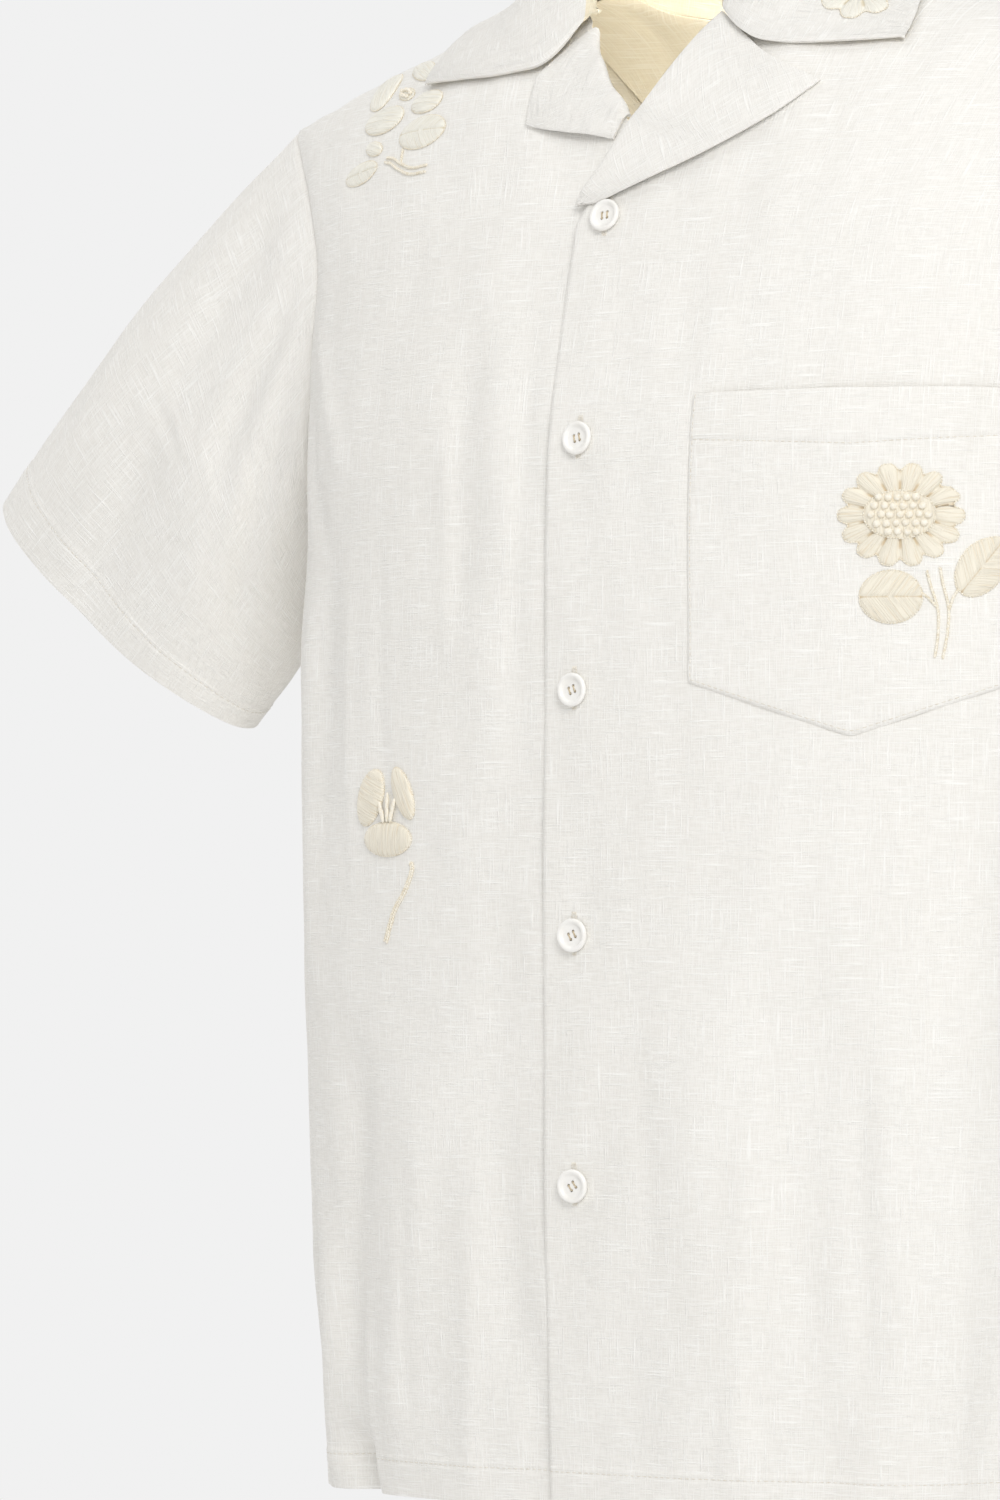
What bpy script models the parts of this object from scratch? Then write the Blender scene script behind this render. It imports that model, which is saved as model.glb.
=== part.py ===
"""Short-sleeved camp-collar shirt with raised embroidery, worn and hollow.

Run with: blender --background --python part.py

Units are metres with +Z up. The wearer looks along -Y, and the wearer's left is +X.
The origin is the middle of the neck, level with the tops of the shoulder seams.
Every cloth panel is one wall: an open sheet worked out from the body's sections, then
thickened outwards. What is sewn onto a panel is laid on that panel's own outer face.
"""
import math
from collections import namedtuple

import bmesh
import bpy
import numpy as np
from mathutils import Vector
from mathutils.bvhtree import BVHTree

MM = 0.001

# Driving sizes of the body
UNDERARM_HEIGHT = -262 * MM
SHOULDER_TIP_HEIGHT = -55 * MM
SHOULDER_TIP_X = 247 * MM
NECK_HALF_WIDTH = 78 * MM
BACK_NECK_DROP = 18 * MM
RIDGE_Y = 4 * MM
CHEST_HALF_WIDTH = 212 * MM
CHEST_DEPTH = 126 * MM
SQUARENESS = 2.5
FRONT_ARCH = 120 * MM
BACK_ARCH = 90 * MM

# Cloth and the room that sewn pieces keep
CLOTH = 1.2 * MM
COLLAR_CLOTH = 2.2 * MM
FACING_CLOTH = 1.0 * MM
SEAM_GAP = 0.36 * MM
LAY_GAP = 0.5 * MM
MERGE_DISTANCE = 0.02 * MM

# The right front lies under the left one: how far, and where it starts to dip
UNDERLAP_SINK = 2.6 * MM
UNDERLAP_START_X = -62 * MM
UNDERLAP_RUN = 34 * MM

# Body sections, in millimetres
Section = namedtuple("Section", "height half_width front_depth back_depth")
BODY_SECTIONS = [Section(*row) for row in (
    (-700, 198, 124, 108),
    (-614, 205, 128, 110),
    (-520, 211, 130, 112),
    (-430, 214, 130, 112),
    (-305, 215, 129, 112),
    (-262, 212, 128, 111),
    (-223, 213, 126, 110),
    (-180, 214, 118, 108),
    (-127, 219, 105, 107),
    (-92, 234, 96, 106),
    (-72, 243, 94, 105),
    (-55, 251, 93, 105),
    (0, 262, 92, 105),
)]

# Armhole seam as a share of the half width at each height
ArmholePoint = namedtuple("ArmholePoint", "height front_share back_share")
ARMHOLE = [ArmholePoint(*row) for row in (
    (-262, 1.0, 1.0),
    (-254, 0.996, 0.997),
    (-238, 0.984, 0.990),
    (-208, 0.950, 0.970),
    (-165, 0.913, 0.950),
    (-127, 0.889, 0.940),
    (-92, 0.911, 0.944),
    (-72, 0.948, 0.962),
    (-55, 0.984, 0.984),
)]

# Inner edge of each front, from the hem up the button edge and along the lapel's fold to the
# shoulder at the neck. Distances are positive towards the panel's own side.
EdgePoint = namedtuple("EdgePoint", "height left right")
FRONT_EDGES = [EdgePoint(*row) for row in (
    (-700, -17, -17),
    (-262, -17, -17),
    (-125, -17, -17),
    (-104, -8, -14),
    (-81, 5, -4),
    (-60, 18, 17),
    (-44, 28, 30),
    (-23, 43, 43),
    (-8, 60, 60),
    (-2, 70, 70),
    (0, 78, 78),
)]

# Rows and columns of the panels' grids. Lower rows are heights; upper rows crowd together
# towards the shoulder seam, where the cloth turns over.
LOWER_ROWS = (-698, -682, -664, -640, -610, -576, -540, -502, -462, -424, -390, -358, -325, -292)
UPPER_ROWS = 14
INNER_CROWDING = 1.7
ARMHOLE_CROWDING = 1.35
FRONT_COLUMNS = 16
BACK_COLUMNS = 26

# Large folds of the body. Arcs are distances round the cloth from the centre line, positive
# to the wearer's left. Depth is positive outwards. A fold fades in from its top over
# FOLD_RISE of its length, and fades out past its low end.
Fold = namedtuple("Fold", "panel top_arc top_height low_arc low_height half_width depth")
BODY_FOLDS = [Fold(*row) for row in (
    ("front", -64, -150, -66, -300, 13, -2.2),
    ("front", -44, -150, -46, -330, 12, 1.6),
    ("front", -158, -230, -162, -400, 12, -3.0),
    ("front", -182, -260, -176, -470, 12, 2.6),
    ("front", -206, -300, -200, -560, 11, -3.0),
    ("front", -84, -480, -116, -676, 16, 4.2),
    ("front", -128, -470, -148, -640, 13, -4.6),
    ("front", -168, -560, -176, -700, 11, 4.5),
    ("front", -152, -664, -142, -720, 11, -11.0),
    ("front", -196, -540, -212, -680, 10, -4.2),
    ("front", -48, -420, -40, -640, 14, -2.2),
    ("front", 60, -430, 66, -690, 22, 2.4),
    ("front", 112, -400, 118, -700, 20, -3.6),
    ("front", 160, -420, 164, -700, 18, 3.6),
    ("front", 206, -300, 208, -700, 14, -4.2),
    ("front", 232, -250, 236, -480, 12, 2.6),
    ("back", -40, -330, -48, -700, 22, -4.6),
    ("back", -92, -230, -98, -700, 20, 4.4),
    ("back", -142, -150, -150, -700, 18, -5.0),
    ("back", -196, -300, -200, -700, 16, 4.4),
    ("back", 34, -360, 40, -700, 22, 4.2),
    ("back", 86, -250, 92, -700, 20, -5.0),
    ("back", 140, -160, 148, -700, 18, 4.6),
    ("back", 190, -280, 198, -700, 16, -4.4),
)]
FOLD_RISE = 0.35
FOLD_END = 1.12
FOLD_FALL = 0.25
FLAT_BY_SIDE_SEAM = 16 * MM

# Sleeve as it hangs: the cuff's centre, half sizes across the arm and front to back
CUFF_CENTRE = Vector((343, -10, -285)) * MM
CUFF_HALF_WIDTH = 91 * MM
CUFF_HALF_DEPTH = 43 * MM
CUFF_UP = Vector((0.776, 0.0, 0.631))
SLEEVE_ROWS = 9
SLEEVE_CAP_LIFT = 9 * MM
SLEEVE_UNDERARM_LIFT = 0.25
SLEEVE_HEAD = Vector((222, 0, -160)) * MM

# Room that a sleeve leaves at the armhole seam, off the panel's face and along the sleeve.
# Turn 0 is the underarm, 0.5 the shoulder tip.
SeamRoom = namedtuple("SeamRoom", "turn outwards along")
SLEEVE_SEAM_ROOM = [SeamRoom(*row) for row in (
    (0.0, 3.2, 0.2),
    (0.10, 2.8, 0.6),
    (0.22, 1.2, 1.6),
    (0.36, 0.3, 1.6),
    (0.46, 0.0, 0.7),
    (0.50, 0.0, 0.5),
    (0.54, 0.0, 0.7),
    (0.66, 0.3, 1.4),
    (0.80, 1.0, 1.4),
    (0.90, 2.6, 0.6),
    (1.0, 3.2, 0.2),
)]

# Folds of the sleeve, by turn round it and share of its length
SleeveFold = namedtuple("SleeveFold", "top_turn top_share low_turn low_share half_width depth")
SLEEVE_FOLDS = [SleeveFold(*row) for row in (
    (0.40, 0.02, 0.30, 0.55, 0.035, -5.0),
    (0.30, 0.50, 0.24, 1.05, 0.035, -5.5),
    (0.30, 0.00, 0.22, 0.45, 0.030, -4.0),
    (0.38, 0.30, 0.36, 1.05, 0.035, 4.0),
    (0.20, 0.30, 0.16, 1.05, 0.035, 4.0),
    (0.60, 0.05, 0.68, 0.80, 0.040, -4.5),
    (0.74, 0.20, 0.80, 1.05, 0.040, 4.0),
)]

# Turned-back lapels: fold line, outer edge and gorge as (distance from the centre, height).
# The fold runs up from the break; the edge runs from the break out to the tip.
LAPELS = {
    "left": {
        "fold": ((-17, -116), (-8, -104), (5, -81), (12, -71), (28, -44), (37, -31)),
        "edge": ((-6, -116), (22, -107), (52, -95), (77, -82), (97, -66)),
        "gorge": ((37, -31), (66, -51), (97, -66)),
    },
    "right": {
        "fold": ((2, -74), (9, -67), (17, -60), (25, -49), (31, -42), (37, -31)),
        "edge": ((6, -85), (18, -83), (31, -81), (43, -79), (55, -76)),
        "gorge": ((37, -31), (56, -53), (55, -76)),
    },
}
LAPEL_ROWS = 8
LAPEL_COLUMNS = 6
LAPEL_PUFF = 2.2 * MM
LAPEL_PUFF_REACH = 14 * MM
LAPEL_ROOM = 0.9 * MM
GORGE_STATIONS = (0.0, 0.55, 1.0)

# Section round the lapel's fold: distance beyond the fold line, and lift off the cloth
RollPoint = namedtuple("RollPoint", "beyond lift")
LAPEL_ROLL = (RollPoint(1.0, 0.0), RollPoint(2.0, 1.6), RollPoint(1.0, 3.4))

# Collar stations from a front end to the centre back. Each gives four points as x, y, z:
# the neck seam, the roll, the middle of the fall and the fall's outer edge.
COLLAR_LEFT_FRONT = ((41, -50, -21), (38, -63, -27), (70, -72, -47), (129, -56, -49))
COLLAR_RIGHT_FRONT = ((41, -50, -21), (38, -63, -27), (60, -74, -49), (130, -56, -50))
COLLAR_STATIONS = (
    ((50, -40, -13), (43, -53, -5), (76, -58, -22), (129, -40, -39)),
    ((59, -28, -5), (55, -36, 12), (82, -34, 2), (124, -16, -24)),
    ((77, 4, 2), (68, 2, 22), (92, 0, 16), (117, 3, -7)),
    ((76, 28, 0), (65, 25, 21), (84, 34, 15), (109, 42, -9)),
    ((57, 52, -8), (49, 44, 18), (60, 62, 13), (80, 76, -23)),
    ((0, 65, -15), (0, 57, 13), (0, 74, 9), (0, 93, -33)),
)
COLLAR_ROWS = 36
COLLAR_COLUMNS = (0.0, 0.5, 0.9, 1.15, 1.5, 1.8, 2.1, 2.4, 2.7, 3.0)
COLLAR_ROOM = 2.2 * MM

# Patch pocket on the wearer's left chest: arc distances from the centre line and heights
POCKET_NEAR = 58 * MM
POCKET_WIDTH = 150 * MM
POCKET_TOP = -206 * MM
POCKET_SIDE_BOTTOM = -333 * MM
POCKET_TIP = -358 * MM
POCKET_COLUMNS = 12
POCKET_ROWS = 9
POCKET_MOUTH = 1.4 * MM
POCKET_MOUTH_SHARE = 0.4

# Half-moon facing inside the back of the neck
FACING_HALF_WIDTH = 109 * MM
FACING_DEPTH = 94 * MM
FACING_EDGE = 3 * MM
FACING_GAP = 0.9 * MM
FACING_ROWS = 7
FACING_COLUMNS = 16
FACING_CROWDING = 1.5
FACING_TOP_DROP = 6 * MM
FACING_REACH = 5 * MM

# Buttons down the left front's centre line, and the turned profile of one
BUTTON_HEIGHTS = (-122, -223, -335, -444, -555)
BUTTON_GAP = 0.45 * MM
BUTTON_STEPS = 20
ProfilePoint = namedtuple("ProfilePoint", "radius height")
BUTTON_PROFILE = [ProfilePoint(*row) for row in (
    (0.0, 1.7),
    (4.6, 1.7),
    (5.5, 2.6),
    (6.7, 2.9),
    (7.6, 2.1),
    (7.6, 0.8),
    (6.6, 0.0),
    (0.0, 0.0),
)]

# Raised embroidery: where each petal or leaf lies, its size, and its lean in degrees.
# Pointed is how far it narrows at its far end.
Pad = namedtuple("Pad", "name x y z length width pointed height lean")
SPRAY_PADS = [Pad(*row) for row in (
    ("spray_petal_top", -140, -42, -33.5, 36, 11, 0.0, 2.2, -22),
    ("spray_petal_left", -163, -40, -41.5, 31, 17, 0.0, 2.2, -62),
    ("spray_petal_low", -151, -59, -59.5, 30, 16, 0.0, 2.6, 0),
    ("spray_petal_right", -122, -64.5, -53.5, 22, 13, 0.0, 2.2, -1),
    ("spray_bud", -152, -66, -74.5, 15, 7, 0.0, 1.8, -14),
    ("spray_leaf", -118, -74, -69.5, 32, 18, 0.1, 2.2, 1),
    ("spray_leaf_small", -157.5, -69, -86, 24, 11.5, 0.1, 1.8, 10),
    ("spray_eye", -142, -53.5, -46.5, 16, 7, 0.0, 1.6, -18),
)]
TULIP_PADS = [Pad(*row) for row in (
    ("tulip_petal_left", -118, -115.5, -379.5, 27, 17, 0.1, 2.2, 66),
    ("tulip_petal_right", -96, -120.5, -378, 26, 12, 0.1, 2.2, -62),
    ("tulip_cup", -105, -119, -400.5, 32, 12, 0.0, 2.4, -1),
)]
SUNFLOWER_LEAVES = [Pad(*row) for row in (
    ("sunflower_leaf_round", 146, -103, -296.5, 28, 23, 0.0, 2.2, 0),
    ("sunflower_leaf_pointed", 180, -82, -283, 31, 20, 0.35, 2.2, 50),
)]

# Flower heads: half sizes of the ring of petals, and size of the raised middle
FlowerHead = namedtuple("FlowerHead", "x y z half_width half_height petals notch eye_width eye_height")
SUNFLOWER = FlowerHead(150, -102, -261, 28, 22.5, 14, 0.14, 32, 21)
COLLAR_FLOWER = FlowerHead(97, -50, -21, 18, 17, 7, 0.22, 10, 9)
PETAL_HEIGHT = 2.0
PETAL_GROOVE = 0.8
EYE_BASE = 2.4
EYE_HEIGHT = 2.4
PAD_RINGS = 3
PAD_TURNS = 14
PAD_EDGE_SHARE = 0.45
PATCH_REACH = 8 * MM

# Stems as points on the panel, in millimetres, and their section
SUNFLOWER_STEM = ((164, -93, -286), (166.5, -92, -296), (168, -91, -310), (167, -91, -323))
TULIP_STEM = (
    (-90, -122, -409), (-89.5, -122, -413), (-94, -121, -422), (-101, -120, -431), (-107, -118, -445))
SPRAY_STEM = (
    (-140, -73, -81.5), (-135, -75, -82.5), (-128, -78, -86), (-119, -81.5, -89), (-108.5, -83.5, -88.5))
STEM_WIDTH = 2.6 * MM
STEM_HEIGHT = 1.3 * MM
STEM_STEPS = 9
STEM_END_TAPER = 0.1
StemPoint = namedtuple("StemPoint", "side lift")
STEM_SECTION = [StemPoint(*row) for row in (
    (-1.0, 0.0), (-0.75, 0.7), (0.0, 1.0), (0.75, 0.7), (1.0, 0.0), (0.0, 0.0))]

CLOTH_COLOUR = (0.88, 0.86, 0.80, 1.0)
INNER_COLOUR = (0.80, 0.72, 0.52, 1.0)
THREAD_COLOUR = (0.78, 0.70, 0.52, 1.0)
BUTTON_COLOUR = (0.86, 0.82, 0.72, 1.0)
ROUGHNESS = 0.85


def blend(start, end, share):
    """Value or point a share of the way from start to end."""
    return start + (end - start) * share


def clamp(value, low=0.0, high=1.0):
    """Value kept between two limits."""
    return min(max(value, low), high)


def ease(share):
    """Share that starts and ends gently."""
    return share * share * (3 - 2 * share)


def smooth_curve(place, places, values):
    """Cubic curve through a table's points, level beyond both ends."""
    places = np.asarray(places, dtype=float)
    values = np.asarray(values, dtype=float)
    slopes = np.gradient(values, places, axis=0)
    place = np.clip(place, places[0], places[-1])
    index = np.clip(np.searchsorted(places, place) - 1, 0, len(places) - 2)
    span = places[index + 1] - places[index]
    t = (place - places[index]) / span
    start = (1 + 2 * t) * (1 - t) ** 2 * values[index] + t * (1 - t) ** 2 * span * slopes[index]
    end = t * t * (3 - 2 * t) * values[index + 1] + t * t * (t - 1) * span * slopes[index + 1]
    return start + end


def column(table, name):
    """One column of a table, in metres."""
    return [getattr(row, name) * MM for row in table]


SECTION_HEIGHTS = column(BODY_SECTIONS, "height")
HALF_WIDTHS = column(BODY_SECTIONS, "half_width")
DEPTHS = {
    "front": column(BODY_SECTIONS, "front_depth"),
    "back": column(BODY_SECTIONS, "back_depth"),
}
ARCHES = {"front": FRONT_ARCH, "back": BACK_ARCH}
OUTWARD = {"front": -1.0, "back": 1.0}
ARMHOLE_SHARES = {
    "front": [row.front_share for row in ARMHOLE],
    "back": [row.back_share for row in ARMHOLE],
}


def quarter_arc():
    """Arc length along a quarter of the chest section, and the share of the half width there."""
    angle = np.linspace(0.0, math.pi / 2, 600)
    share = np.sin(angle) ** (2 / SQUARENESS)
    depth = np.cos(angle) ** (2 / SQUARENESS)
    steps = np.hypot(np.diff(share) * CHEST_HALF_WIDTH, np.diff(depth) * CHEST_DEPTH)
    return np.concatenate(([0.0], np.cumsum(steps))), share


ARC_LENGTHS, ARC_SHARES = quarter_arc()


def share_at_arc(arc):
    """Share of the half width at an arc distance from the centre line."""
    return math.copysign(1.0, arc) * float(np.interp(abs(arc), ARC_LENGTHS, ARC_SHARES))


def arc_at_share(share):
    """Arc distance from the centre line at a share of the half width."""
    return math.copysign(1.0, share) * float(np.interp(abs(share), ARC_SHARES, ARC_LENGTHS))


def half_width(height):
    """Half width of the body at a height."""
    return float(smooth_curve(height, SECTION_HEIGHTS, HALF_WIDTHS))


def shoulder_height(x):
    """Height of the shoulder seam at a distance from the centre."""
    slope = SHOULDER_TIP_HEIGHT / (SHOULDER_TIP_X - NECK_HALF_WIDTH)
    return max(abs(x) - NECK_HALF_WIDTH, 0.0) * slope


def plain_y(panel, x, height):
    """Front-to-back place of the unfolded body at a point of the front or the back."""
    share = min(abs(x) / half_width(height), 1.0)
    across = (1.0 - share ** SQUARENESS) ** (1.0 / SQUARENESS)
    rise = clamp((shoulder_height(x) - height) / ARCHES[panel])
    arch = math.sqrt(1.0 - (1.0 - rise) ** 2)
    depth = float(smooth_curve(height, SECTION_HEIGHTS, DEPTHS[panel]))
    return RIDGE_Y + OUTWARD[panel] * depth * across * arch


def plain_normal(panel, x, height):
    """Outward direction of the unfolded body."""
    step = 0.6 * MM
    in_x = (plain_y(panel, x + step, height) - plain_y(panel, x - step, height)) / (2 * step)
    in_z = (plain_y(panel, x, height + step) - plain_y(panel, x, height - step)) / (2 * step)
    return Vector((-in_x, 1.0, -in_z)).normalized() * OUTWARD[panel]


def fold_height(panel, x, height):
    """How far the large folds move the cloth outwards at a point."""
    arc = arc_at_share(clamp(x / half_width(height), -1.0)) / MM
    total = 0.0
    for fold in BODY_FOLDS:
        if fold.panel != panel:
            continue
        along = np.array((fold.low_arc - fold.top_arc, fold.low_height - fold.top_height), dtype=float)
        away = np.array((arc - fold.top_arc, height / MM - fold.top_height))
        length = float(np.hypot(*along))
        share = float(away @ along) / length ** 2
        off = abs(float(away[0] * along[1] - away[1] * along[0])) / length
        fade = clamp(share / FOLD_RISE) * clamp((FOLD_END - share) / FOLD_FALL)
        total += fold.depth * math.exp(-((off / fold.half_width) ** 2)) * ease(fade)
    return total * clamp((half_width(height) - abs(x)) / FLAT_BY_SIDE_SEAM) * MM


def sink(panel, side, x):
    """How far the right front lies below the left one where they overlap."""
    if panel != "front" or side != "right":
        return 0.0
    return -UNDERLAP_SINK * ease(clamp((x - UNDERLAP_START_X) / UNDERLAP_RUN))


def body_point(panel, x, height, lift=0.0, side="left"):
    """Point of the worn body cloth, lifted off its inner face."""
    out = fold_height(panel, x, height) + sink(panel, side, x) + lift
    place = Vector((x, plain_y(panel, x, height), height))
    return place + plain_normal(panel, x, height) * out


def add_piece(name, data, colour):
    """Object for one sub-part, in the garment's collection, with its own material."""
    piece = bpy.data.objects.new(name, data)
    COLLECTION.objects.link(piece)
    material = bpy.data.materials.new(name)
    material.use_nodes = True
    shader = material.node_tree.nodes["Principled BSDF"]
    shader.inputs["Base Color"].default_value = colour
    shader.inputs["Roughness"].default_value = ROUGHNESS
    data.materials.append(material)
    for polygon in data.polygons:
        polygon.use_smooth = True
    return piece


def grid_mesh(rows):
    """Sheet through a grid of points, with points that meet merged."""
    columns = len(rows[0])
    mesh = bmesh.new()
    bmesh.ops.create_grid(mesh, x_segments=columns - 1, y_segments=len(rows) - 1, size=1.0)
    mesh.verts.ensure_lookup_table()
    for index, vertex in enumerate(mesh.verts):
        vertex.co = rows[index // columns][index % columns]
    bmesh.ops.remove_doubles(mesh, verts=mesh.verts, dist=MERGE_DISTANCE)
    return mesh


def cloth_wall(name, rows, thickness, colour, outward):
    """Wall over a grid of points, thickened on its outward side."""
    mesh = grid_mesh(rows)
    mesh.normal_update()
    agree = sum(face.normal.dot(outward(face.calc_center_median())) for face in mesh.faces)
    if agree < 0:
        bmesh.ops.reverse_faces(mesh, faces=mesh.faces)
    data = bpy.data.meshes.new(name)
    mesh.to_mesh(data)
    mesh.free()
    piece = add_piece(name, data, colour)
    wall = piece.modifiers.new("Wall", "SOLIDIFY")
    wall.thickness = thickness
    wall.offset = 1.0
    wall.use_even_offset = True
    wall.use_rim = True
    return piece


def closed_form(name, rows, colour):
    """Closed body over a stack of rings, its two ends drawn to a point or filled."""
    mesh = grid_mesh(rows)
    bmesh.ops.holes_fill(mesh, edges=mesh.edges, sides=0)
    bmesh.ops.recalc_face_normals(mesh, faces=mesh.faces)
    data = bpy.data.meshes.new(name)
    mesh.to_mesh(data)
    mesh.free()
    return add_piece(name, data, colour)


def outer_tree(*pieces):
    """Search tree over the finished faces of some pieces."""
    graph = bpy.context.evaluated_depsgraph_get()
    points = []
    faces = []
    for piece in pieces:
        mesh = piece.evaluated_get(graph).to_mesh()
        start = len(points)
        points.extend(vertex.co.copy() for vertex in mesh.vertices)
        faces.extend([start + index for index in polygon.vertices] for polygon in mesh.polygons)
        piece.evaluated_get(graph).to_mesh_clear()
    return BVHTree.FromPolygons(points, faces)


def away_from_axis(point):
    """Direction from the middle of the body to a point of its cloth."""
    return Vector((point.x, point.y, 0.15 * (point.z + 0.2))).normalized()


def collar_outward(point):
    """Outer side of the collar: away from the ring of its roll."""
    return Vector((point.x * 0.3, point.y * 0.3, 1.0)).normalized()


def sleeve_outward(point, sign):
    """Direction from the sleeve's middle line to a point of its cloth."""
    start = Vector((SLEEVE_HEAD.x * sign, SLEEVE_HEAD.y, SLEEVE_HEAD.z))
    end = Vector((CUFF_CENTRE.x * sign, CUFF_CENTRE.y, CUFF_CENTRE.z))
    along = (end - start).normalized()
    off = point - start
    return (off - along * off.dot(along)).normalized()


def upper_shares():
    """How far up each upper row lies, at its inner edge and at the armhole."""
    shares = [1.0 - (1.0 - step / UPPER_ROWS) ** INNER_CROWDING for step in range(UPPER_ROWS + 1)]
    return [(share, share ** ARMHOLE_CROWDING) for share in shares]


def armhole_height(share):
    """Height of the armhole seam at a share of the way from the underarm to the shoulder tip."""
    return blend(UNDERARM_HEIGHT, SHOULDER_TIP_HEIGHT, share)


def armhole_rise(height):
    """Share of the way from the underarm to the shoulder tip at a height."""
    return (height - UNDERARM_HEIGHT) / (SHOULDER_TIP_HEIGHT - UNDERARM_HEIGHT)


def armhole_share(panel, height):
    """Share of the half width at which a panel meets the armhole seam."""
    return float(smooth_curve(height, column(ARMHOLE, "height"), ARMHOLE_SHARES[panel]))


def inset(rows, seams):
    """Draws the named edges of a grid back by half the seam gap."""
    rows = [list(row) for row in rows]
    half = SEAM_GAP / 2
    if "last_column" in seams:
        for row in rows:
            row[-1] = row[-1] + (row[-2] - row[-1]).normalized() * half
    if "first_column" in seams:
        for row in rows:
            row[0] = row[0] + (row[1] - row[0]).normalized() * half
    if "last_row" in seams:
        rows[-1] = [a + (b - a).normalized() * half for a, b in zip(rows[-1], rows[-2])]
    return rows


def front_row(side, inner, outer):
    """Points of one row of a front, from its inner edge to its outer one, even along the cloth."""
    sign = 1.0 if side == "left" else -1.0
    inner_arc = arc_at_share(inner[0] / half_width(inner[1]))
    outer_arc = arc_at_share(min(outer[0] / half_width(outer[1]), 1.0))
    start = share_at_arc(inner_arc)
    end = share_at_arc(outer_arc)
    row = []
    for step in range(FRONT_COLUMNS + 1):
        here = share_at_arc(blend(inner_arc, outer_arc, step / FRONT_COLUMNS))
        part = (here - start) / (end - start)
        x = blend(inner[0], outer[0], part)
        height = blend(inner[1], outer[1], part)
        row.append(body_point("front", sign * x, height, 0.0, side))
    return row


def front_rows(side):
    """Grid of one front, hem to shoulder, button edge to side."""
    edge_heights = column(FRONT_EDGES, "height")
    edge_places = column(FRONT_EDGES, side)
    levels = [(height * MM, height * MM, 1.0) for height in LOWER_ROWS]
    for inner_share, outer_share in upper_shares():
        outer_height = armhole_height(outer_share)
        inner_height = blend(UNDERARM_HEIGHT, 0.0, inner_share)
        levels.append((inner_height, outer_height, armhole_share("front", outer_height)))
    rows = []
    for inner_height, outer_height, outer_share in levels:
        inner_x = float(np.interp(inner_height, edge_heights, edge_places))
        outer_x = half_width(outer_height) * outer_share
        rows.append(front_row(side, (inner_x, inner_height), (outer_x, outer_height)))
    return inset(rows, ("last_column", "last_row"))


def back_neck_height(x):
    """Height of the back's top edge: along the shoulder seam, then down round the neck."""
    inside = clamp(1.0 - abs(x) / NECK_HALF_WIDTH)
    return shoulder_height(x) - BACK_NECK_DROP * math.sqrt(1.0 - (1.0 - inside) ** 2)


def back_rows():
    """Grid of the back, hem to shoulders and neck, right side to left side."""
    half = BACK_COLUMNS // 2
    levels = [(height * MM, 1.0, 0.0) for height in LOWER_ROWS]
    for inner_share, outer_share in upper_shares():
        outer_height = armhole_height(outer_share)
        levels.append((outer_height, armhole_share("back", outer_height), inner_share))
    rows = []
    for outer_height, outer_share, rise in levels:
        outer_x = half_width(outer_height) * outer_share
        outer_arc = arc_at_share(min(outer_share, 1.0))
        row = []
        for step in range(-half, half + 1):
            part = abs(step) / half
            even = share_at_arc(outer_arc * part) / share_at_arc(outer_arc)
            x = outer_x * blend(even, part, rise ** 2)
            height = outer_height
            if outer_height >= UNDERARM_HEIGHT:
                along = blend(rise, armhole_rise(outer_height), part ** 2)
                height = blend(UNDERARM_HEIGHT, back_neck_height(x), along)
            row.append(body_point("back", math.copysign(x, step), height))
        rows.append(row)
    return inset(rows, ("last_column", "first_column", "last_row"))


def armhole_ring(sign):
    """Seam points from the underarm up the front, over the shoulder tip and down the back.

    Each is a turn from 0 to 1, a place and the panel's outward direction there.
    """
    heights = [armhole_height(outer) for _, outer in upper_shares()]
    stops = [("front", height) for height in heights]
    stops += [("back", height) for height in reversed(heights[1:-1])]
    ring = []
    for panel, height in stops:
        x = sign * half_width(height) * armhole_share(panel, height)
        ring.append((body_point(panel, x, height), plain_normal(panel, x, height)))
    steps = [(ring[index][0] - ring[index - 1][0]).length for index in range(1, len(ring))]
    lengths = np.concatenate(([0.0], np.cumsum(steps)))
    tip = lengths[len(heights) - 1]
    whole = lengths[-1] + (ring[-1][0] - ring[0][0]).length
    turns = [
        0.5 * length / tip if length <= tip else 0.5 + 0.5 * (length - tip) / (whole - tip)
        for length in lengths
    ]
    return [(turn, place, normal) for turn, (place, normal) in zip(turns, ring)]


def sleeve_fold(turn, share):
    """How far the sleeve's folds move its cloth outwards."""
    total = 0.0
    for fold in SLEEVE_FOLDS:
        part = (share - fold.top_share) / (fold.low_share - fold.top_share)
        if part <= 0.0 or part >= 1.0:
            continue
        off = turn - blend(fold.top_turn, fold.low_turn, part)
        strength = math.exp(-((off / fold.half_width) ** 2)) * math.sin(part * math.pi) ** 0.6
        total += fold.depth * strength
    return total * min(share / 0.15, 1.0) * MM


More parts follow.
